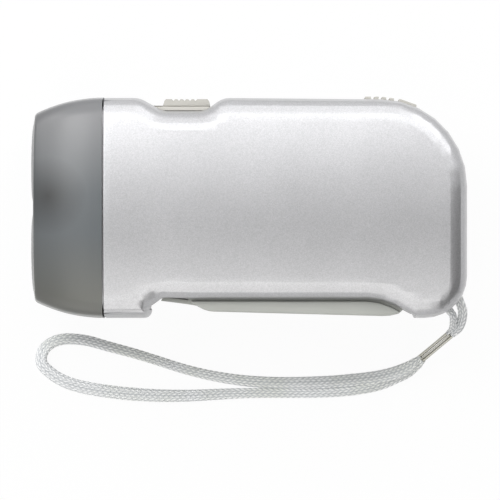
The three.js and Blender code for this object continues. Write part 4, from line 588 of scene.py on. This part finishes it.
def ease_chin(bm):
    """Softens the mitre that the rounded rim makes where it turns the corner of the chin behind the head."""
    corner = mm(-24.3, -22.6, 0).xy
    widest = 6.5 * MM
    narrowing = 0.55
    passes = 12
    strength = 0.5
    clear_of_slot = 14 * MM
    for k in range(passes):
        radius = widest * (1 - narrowing * k / passes)
        near = [
            v for v in bm.verts
            if (v.co.xy - corner).length < radius and abs(v.co.z - MIDDLE) > clear_of_slot
        ]
        bmesh.ops.smooth_vert(bm, verts=near, factor=strength, use_axis_z=True)


def break_seam_edge(bm):
    """Chamfers a shell's outer edge where it meets the head."""
    width = 0.24 * MM
    near = 0.02 * MM
    shallow = 1.2 * MM
    sharp = math.radians(40)
    rim = []
    for edge in bm.edges:
        at_seam = all(abs(v.co.x - SEAM_X) <= near for v in edge.verts)
        if not at_seam or len(edge.link_faces) != 2 or edge.calc_face_angle(0) < sharp:
            continue
        middle = (edge.verts[0].co + edge.verts[1].co) / 2
        from_long_edge = HALF_HEIGHT - abs(middle.y)
        from_broad_face = HALF - abs(middle.z - MIDDLE) - CROWN * (middle.y / HALF_HEIGHT) ** 2
        if min(from_long_edge, from_broad_face) < shallow:
            rim.append(edge)
    round_edges(bm, rim, width, segments=2)


def add_shell(name, node):
    """A case half with its broad face crowned and its chin eased."""
    sharp = 44
    bm = merged_copy(node)
    crown_faces(bm)
    ease_chin(bm)
    break_seam_edge(bm)
    shade_by_angle(bm, sharp)
    piece = new_piece(name, bm, case_paint, "case")
    even = piece.modifiers.new("even_shading", "WEIGHTED_NORMAL")
    even.keep_sharp = True
    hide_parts(node)


add_shell("upper_shell", "case_upper")
add_shell("lower_shell", "case_lower")


# Lever and buttons

def score(bm, level):
    """Cuts a fine groove round a button, parallel to the case's long edge."""
    half_width = 0.14 * MM
    depth = 0.3 * MM
    for place in (level - half_width, level, level + half_width):
        cut_at(bm, Y, place)
    low = min(v.co.z for v in bm.verts)
    high = max(v.co.z for v in bm.verts)
    left = min(v.co.x for v in bm.verts if v.co.y > level)
    right = max(v.co.x for v in bm.verts if v.co.y > level)
    for vert in bm.verts:
        if abs(vert.co.y - level) < half_width / 2:
            vert.co.z += depth * ((vert.co.z < low + depth) - (vert.co.z > high - depth))
            vert.co.x += depth * ((vert.co.x < left + depth) - (vert.co.x > right - depth))


def add_moving_piece(name, node, material, body, rounding, groove=None):
    """A lever or button with its sharp edges rounded, and scored all round at the groove's level."""
    sharp = 32
    bm = merged_copy(node)
    if groove:
        score(bm, groove)
    shade_by_angle(bm, sharp)
    piece = new_piece(name, bm, material, body)
    edges = piece.modifiers.new("edges", "BEVEL")
    edges.width = rounding
    edges.segments = 2
    edges.limit_method = "ANGLE"
    edges.angle_limit = math.radians(sharp)
    edges.harden_normals = False
    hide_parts(node)


add_moving_piece("grip_lever", "squeeze_lever", grip_plastic, "lever", rounding=0.12 * MM)
add_moving_piece(
    "switch_button", "switch_knob", button_plastic, "switch", rounding=0.14 * MM, groove=23.35 * MM,
)
add_moving_piece("lock_button", "lock_slider", button_plastic, "lock", rounding=0.12 * MM)


# Smoked head and lenses

HEAD_FRONT = SEAM_X - 16.56 * MM  # the head's face, behind the bezels
LAMP_HEIGHT = 10.7 * MM  # from the torch's middle line to either lamp's axis
LENS_HOLE = 7.4 * MM  # radius of the round openings
BEZEL_RADIUS = 10.4 * MM


def off_lamp(place):
    """How far a place is from the axis of the nearer lamp."""
    return math.hypot(abs(place.y) - LAMP_HEIGHT, place.z - MIDDLE)


def head_block():
    """A block with rounded long edges and front rim, open at its back and cut finely to be shaped."""
    near = 0.01 * MM
    parting = 0.3 * MM
    rim = 3.7 * MM
    front_rim = 0.7 * MM
    bm = bmesh.new()
    bmesh.ops.create_cube(bm, size=1)
    bmesh.ops.scale(bm, vec=(SEAM_X - HEAD_FRONT, 2 * HALF_HEIGHT, 2 * HALF), verts=bm.verts)
    bmesh.ops.translate(bm, vec=((SEAM_X + HEAD_FRONT) / 2, 0, MIDDLE), verts=bm.verts)
    for vert in bm.verts:
        if vert.co.x > SEAM_X - near:
            vert.co.x = SEAM_X - parting
    long_edges = [e for e in bm.edges if abs(e.verts[0].co.x - e.verts[1].co.x) > HEAD_LENGTH / 2]
    round_edges(bm, long_edges, rim, segments=8)
    back = [f for f in bm.faces if f.calc_center_median().x > SEAM_X - 2 * parting]
    bmesh.ops.delete(bm, geom=back, context="FACES")
    face = next(f for f in bm.faces if f.calc_center_median().x < HEAD_FRONT + near)
    round_edges(bm, list(face.edges), front_rim, segments=4)
    cut_across(bm, X, HEAD_FRONT + front_rim, SEAM_X - 2 * parting, count=14)
    cut_across(bm, Y, -HALF_HEIGHT + rim, HALF_HEIGHT - rim, count=44)
    cut_across(bm, Z, MIDDLE - HALF + rim, MIDDLE + HALF - rim, count=32)
    return bm


def draw_in(bm):
    """Draws the block in towards its front, crowns its sides and raises a bezel round each lamp."""
    height_lost = 3.85 * MM
    width_lost = 3.2 * MM
    side_crown = 1.0 * MM
    lean = 0.55 * MM
    corner_lean = 0.46 * MM
    front_run = 8 * MM
    front_skin = 0.05 * MM
    bezel = 0.44 * MM
    for vert in bm.verts:
        share = (SEAM_X - vert.co.x) / HEAD_LENGTH
        across = vert.co.y / HALF_HEIGHT
        above = (vert.co.z - MIDDLE) / HALF
        on_front = vert.co.x < HEAD_FRONT + front_skin
        face_drop = CROWN * across ** 2 * abs(above) ** 3
        side_drop = side_crown * above ** 2 * abs(across) ** 3
        vert.co.y *= 1 - (height_lost * share ** 2 + side_drop) / HALF_HEIGHT
        vert.co.z = MIDDLE + above * (HALF - width_lost * share ** 2 - face_drop)
        back_lean = lean * above ** 2 + corner_lean * abs(across) ** 4
        vert.co.x += back_lean * max(1 - (vert.co.x - HEAD_FRONT) / front_run, 0)
        if on_front:
            rise = min(max((BEZEL_RADIUS - off_lamp(vert.co)) / (BEZEL_RADIUS - LENS_HOLE), 0), 1)
            vert.co.x -= bezel * math.sin(math.pi / 2 * rise)


def open_lamp_holes(bm):
    """Opens a round hole before each lamp."""
    face_end = HEAD_FRONT + 1 * MM
    holes = []
    for face in bm.faces:
        place = face.calc_center_median()
        if place.x < face_end and off_lamp(place) < LENS_HOLE:
            holes.append(face)
    bmesh.ops.delete(bm, geom=holes, context="FACES")
    for vert in bm.verts:
        centre = Vector((vert.co.x, math.copysign(LAMP_HEIGHT, vert.co.y), MIDDLE))
        out = vert.co - centre
        if vert.is_boundary and vert.co.x < face_end and out.length < BEZEL_RADIUS:
            vert.co = centre + out.normalized() * LENS_HOLE


def add_head():
    """The cap over the lamps, a thin wall all round."""
    wall = 1.5 * MM
    sharp = 32
    bm = head_block()
    draw_in(bm)
    bmesh.ops.recalc_face_normals(bm, faces=bm.faces)
    open_lamp_holes(bm)
    bmesh.ops.solidify(bm, geom=bm.faces[:], thickness=wall)
    bmesh.ops.recalc_face_normals(bm, faces=bm.faces)
    shade_by_angle(bm, sharp)
    cap = new_piece("smoked_head", bm, smoked_cap, "case")
    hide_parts("head_cap")


def add_lenses():
    """A clear lens, thickest at its middle, set back a little in each of the head's two round openings."""
    fit_gap = 0.1 * MM
    radius = LENS_HOLE - fit_gap
    setback = 1.15 * MM
    half_thickness = 0.75 * MM
    sides = 56
    rings = 28
    sharp = 50
    bm = bmesh.new()
    for side in (-1, 1):
        lens = bmesh.ops.create_uvsphere(bm, u_segments=sides, v_segments=rings, radius=radius)["verts"]
        for vert in lens:
            bulge = vert.co.z / radius * half_thickness
            up = side * LAMP_HEIGHT + vert.co.x
            vert.co = Vector((HEAD_FRONT + setback - bulge, up, MIDDLE + vert.co.y))
    bmesh.ops.recalc_face_normals(bm, faces=bm.faces)
    shade_by_angle(bm, sharp)
    new_piece("lamp_lenses", bm, lamp_window, "case")


add_head()
add_lenses()


# Crimp ferrule

# Each barrel's offsets sideways and upwards, half width, half thickness and how much shorter it is than the
# ferrule, in millimetres, and the number of teeth pressed into it.
BARRELS = [
    (-0.62, 0.0, 0.4, 0.66, 0.0, 0),
    (0.62, 0.0, 0.4, 0.66, 0.0, 16),
    (0.0, 0.6, 0.2, 0.28, 0.3, 0),
]


def flattened_barrel(length, sideways, upwards, wide, tall, shorter, teeth):
    """A barrel along Z, flattened, pinched at its middle and toothed where the crimp pressed it."""
    near = 0.01 * MM
    round_radius = 1 * MM
    end_rounding = 0.16 * MM
    sides = 28
    cut_share = 0.4
    rows = 40
    pinch_depth = 0.07
    pinch_reach = 0.3
    tooth_depth = 0.08
    sharp = 40
    bm = bmesh.new()
    bmesh.ops.create_cone(
        bm,
        cap_ends=True,
        segments=sides,
        radius1=round_radius,
        radius2=round_radius,
        depth=length - shorter * MM,
    )
    ends = [e for e in bm.edges if abs(e.verts[0].co.z - e.verts[1].co.z) < near]
    round_edges(bm, ends, end_rounding, segments=3)
    cut_across(bm, Z, -length * cut_share, length * cut_share, rows)
    for vert in bm.verts:
        share = vert.co.z / length + 0.5
        pinch = 1 - pinch_depth * math.exp(-((share - 0.5) / pinch_reach) ** 2)
        if teeth:
            pinch -= tooth_depth * max(math.sin(math.tau * teeth * share), 0) * (0 < share < 1)
        vert.co.x *= pinch * wide
        vert.co.y *= pinch * tall
        vert.co += mm(sideways, upwards, 0)
    shade_by_angle(bm, sharp)
    return bm


def add_ferrule():
    """Two flattened barrels crimped side by side over the cord ends, with a folded lip between them."""
    lower_end = mm(39.9, -35.35, 5.3)
    upper_end = mm(46.9, -29.1, 12.3)
    along = upper_end - lower_end
    beside = along.cross(Vector((0, 0, 1))).normalized()
    over = beside.cross(along).normalized()
    turn = Matrix((beside, over, along.normalized())).transposed()
    bm = bmesh.new()
    for barrel_values in BARRELS:
        barrel = flattened_barrel(along.length, *barrel_values)
        part = bpy.data.meshes.new("barrel")
        barrel.to_mesh(part)
        barrel.free()
        bm.from_mesh(part)
        bpy.data.meshes.remove(part)
    bmesh.ops.transform(bm, matrix=turn.to_4x4(), verts=bm.verts)
    bmesh.ops.translate(bm, vec=(lower_end + upper_end) / 2, verts=bm.verts)
    bmesh.ops.recalc_face_normals(bm, faces=bm.faces)
    piece = new_piece("crimped_ferrule", bm, ferrule_metal, "case")
    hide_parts("strap_ferrule")


add_ferrule()


# Cords

WRIST_ROUTE = [
    (40.2, -34.75, 6.0), (38.7, -35.95, 5.3), (36.81, -37.4, 4.2), (34.27, -38.5, 2.9),
    (31.27, -39.33, 1.7), (27.81, -39.9, 1.3), (23.65, -40.34, 1.05), (18.57, -40.74, 1.05),
    (11.64, -40.96, 1.05), (5.87, -40.9, 1.05), (0.09, -40.55, 1.05), (-5.45, -39.85, 1.05),
    (-10.99, -38.8, 1.05), (-16.54, -37.34, 1.05), (-22.08, -35.57, 1.05), (-27.62, -33.88, 1.05),
    (-33.16, -32.38, 1.05), (-37.78, -31.09, 1.05), (-41.48, -30.62, 1.05), (-44.25, -30.72, 1.05),
    (-46.56, -31.52, 1.05), (-48.18, -32.91, 1.05), (-48.98, -34.76, 1.05), (-48.75, -36.61, 1.05),
    (-47.25, -38.22, 1.05), (-45.17, -39.72, 1.05), (-42.4, -41.02, 1.05), (-38.71, -42.03, 1.05),
    (-33.16, -42.96, 1.05), (-27.62, -43.56, 1.05), (-20.69, -43.95, 1.05), (-13.76, -43.93, 1.05),
    (-6.84, -43.6, 1.05), (0.09, -43.35, 1.05), (5.87, -43.35, 1.05), (11.64, -43.4, 1.05),
    (18.57, -43.25, 1.05), (23.65, -42.83, 1.05), (27.81, -42.18, 1.05), (31.27, -41.25, 1.0),
    (34.27, -39.85, 1.5), (36.95, -38.45, 2.6), (39.3, -36.7, 4.3), (40.75, -35.4, 6.0),
]
LUG_ROUTE = [
    (46.1, -29.2, 12.0), (47.0, -28.3, 12.9), (47.25, -26.7, 15.1), (47.0, -24.8, 17.4), (45.6, -23.1, 18.8),
    (44.5, -21.5, 19.3), (44.75, -19.9, 19.4), (46, -19.15, 19.4), (47.4, -19.45, 19.3), (48.15, -20.6, 19.1),
    (48.8, -22.2, 18.6), (49.3, -23.9, 17.4), (49.2, -25.8, 15.7), (48.6, -27.5, 14.1), (47.0, -29.4, 12.1),
]


def curve_points(route, step):
    """Points a step apart on the smooth curve through the route, in metres."""
    parts = 24
    knots = [mm(*p) for p in route]
    fine = []
    for i in range(len(knots) - 1):
        before = knots[max(i - 1, 0)]
        after = knots[min(i + 2, len(knots) - 1)]
        for k in range(parts):
            t = k / parts
            pull = (knots[i + 1] - before) * t
            pull += (before * 2 - knots[i] * 5 + knots[i + 1] * 4 - after) * t * t
            pull += (knots[i] * 3 - before - knots[i + 1] * 3 + after) * t ** 3
            fine.append(knots[i] + pull / 2)
    fine.append(knots[-1])
    points = [fine[0]]
    left = step
    for a, b in zip(fine, fine[1:]):
        run = (b - a).length
        while run > left:
            a = a.lerp(b, left / run)
            points.append(a)
            run = (b - a).length
            left = step
        left -= run
    return points


def length_of(points):
    return sum((b - a).length for a, b in zip(points, points[1:]))


def stitch_height(place, run, below):
    """How high the plait stands, from 0 to 1, at this place across the cord and this run along it."""
    column = 0.62 * MM
    stitch = 1.3 * MM
    slant = 1.7
    middle_height = 0.6
    swell = 0.4
    column_crown = 0.85
    lane = place / column + (0.5 if below else 0)
    lane_number = math.floor(lane)
    inside = lane - lane_number - 0.5
    odd = lane_number % 2
    lean = 1 if odd else -1
    phase = run / stitch + lean * slant * inside * 0.5 + (0.5 if odd else 0)
    return (middle_height + swell * math.cos(math.tau * phase)) * (1 - (2 * inside) ** 2 * column_crown)


def braided_cord(name, route, width_at, thickness, turn_at):
    """A flat plaited cord: a squashed tube along the route, with its slanting stitches raised in the mesh."""
    step = 0.2 * MM
    around = 52
    relief = 0.11 * MM
    side_lift = 0.5
    side_fullness = 0.7
    face_fullness = 0.8
    points = curve_points(route, step)
    total = length_of(points)
    bm = bmesh.new()
    depth = bm.verts.layers.float.new("stitch_height")
    rings = []
    run = 0.0
    for i, p in enumerate(points):
        if i:
            run += (p - points[i - 1]).length
        ahead = (points[min(i + 1, len(points) - 1)] - points[max(i - 1, 0)]).normalized()
        turn = Matrix.Rotation(math.radians(turn_at(run / total)), 3, ahead)
        side = turn @ ahead.cross(Vector((0, 0, 1))).normalized()
        up = side.cross(ahead).normalized()
        width = width_at(run / total)
        ring = []
        for k in range(around):
            angle = math.tau * k / around
            c = math.cos(angle)
            s = math.sin(angle)
            place = math.copysign(abs(c) ** side_fullness, c) * width / 2
            rise = math.copysign(abs(s) ** face_fullness, s) * thickness / 2
            height = stitch_height(place, run, s < 0)
            lift = relief * (height - 0.5) * 2
            vert = bm.verts.new(p + side * (place + c * lift * side_lift) + up * (rise + s * lift))
            vert[depth] = height
            ring.append(vert)
        rings.append(ring)
    for ring, following in zip(rings, rings[1:]):
        for k in range(around):
            n = (k + 1) % around
            face = bm.faces.new((ring[k], ring[n], following[n], following[k]))
            face.smooth = True
    bm.faces.new(list(reversed(rings[0])))
    bm.faces.new(rings[-1])
    bmesh.ops.recalc_face_normals(bm, faces=bm.faces)
    return new_piece(name, bm, strap_finish, "case"), points


def gathered(share, over):
    """1 along the cord, drawn in over this share of it at either end, where it enters the ferrule."""
    narrowest = 0.36
    reach = min(min(share, 1 - share) / over, 1)
    return narrowest + (1 - narrowest) * math.sin(math.pi / 2 * reach)


def wrist_width(share):
    """The wrist loop's width, which wavers along it, at this share of its length."""
    usual = 2.7
    change = 0.45
    waves = 2.0
    first_wave = 0.6
    drawn_in = 0.035
    return (usual + change * math.sin(math.tau * share * waves + first_wave)) * gathered(share, drawn_in) * MM


def wrist_turn(share):
    """The angle that the wrist loop is turned by about its own length, in degrees."""
    sway = 16
    waves = 2.5
    tilt = 10
    return sway * math.sin(math.tau * share * waves) + tilt


def lug_width(share):
    """The lug loop's width, which grows along it, at this share of its length."""
    start = 1.75
    growth = 0.9
    drawn_in = 0.12
    return (start + growth * share) * (0.5 + 0.5 * gathered(share, drawn_in)) * MM


def lug_turn(share):
    """The same angle all along the lug loop, in degrees."""
    return 38


wrist_cord, wrist_path = braided_cord("wrist_cord", WRIST_ROUTE, wrist_width, 1.2 * MM, wrist_turn)
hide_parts("wrist_loop")
lug_cord, lug_path = braided_cord("lug_cord", LUG_ROUTE, lug_width, 1.1 * MM, lug_turn)
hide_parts("lug_loop")
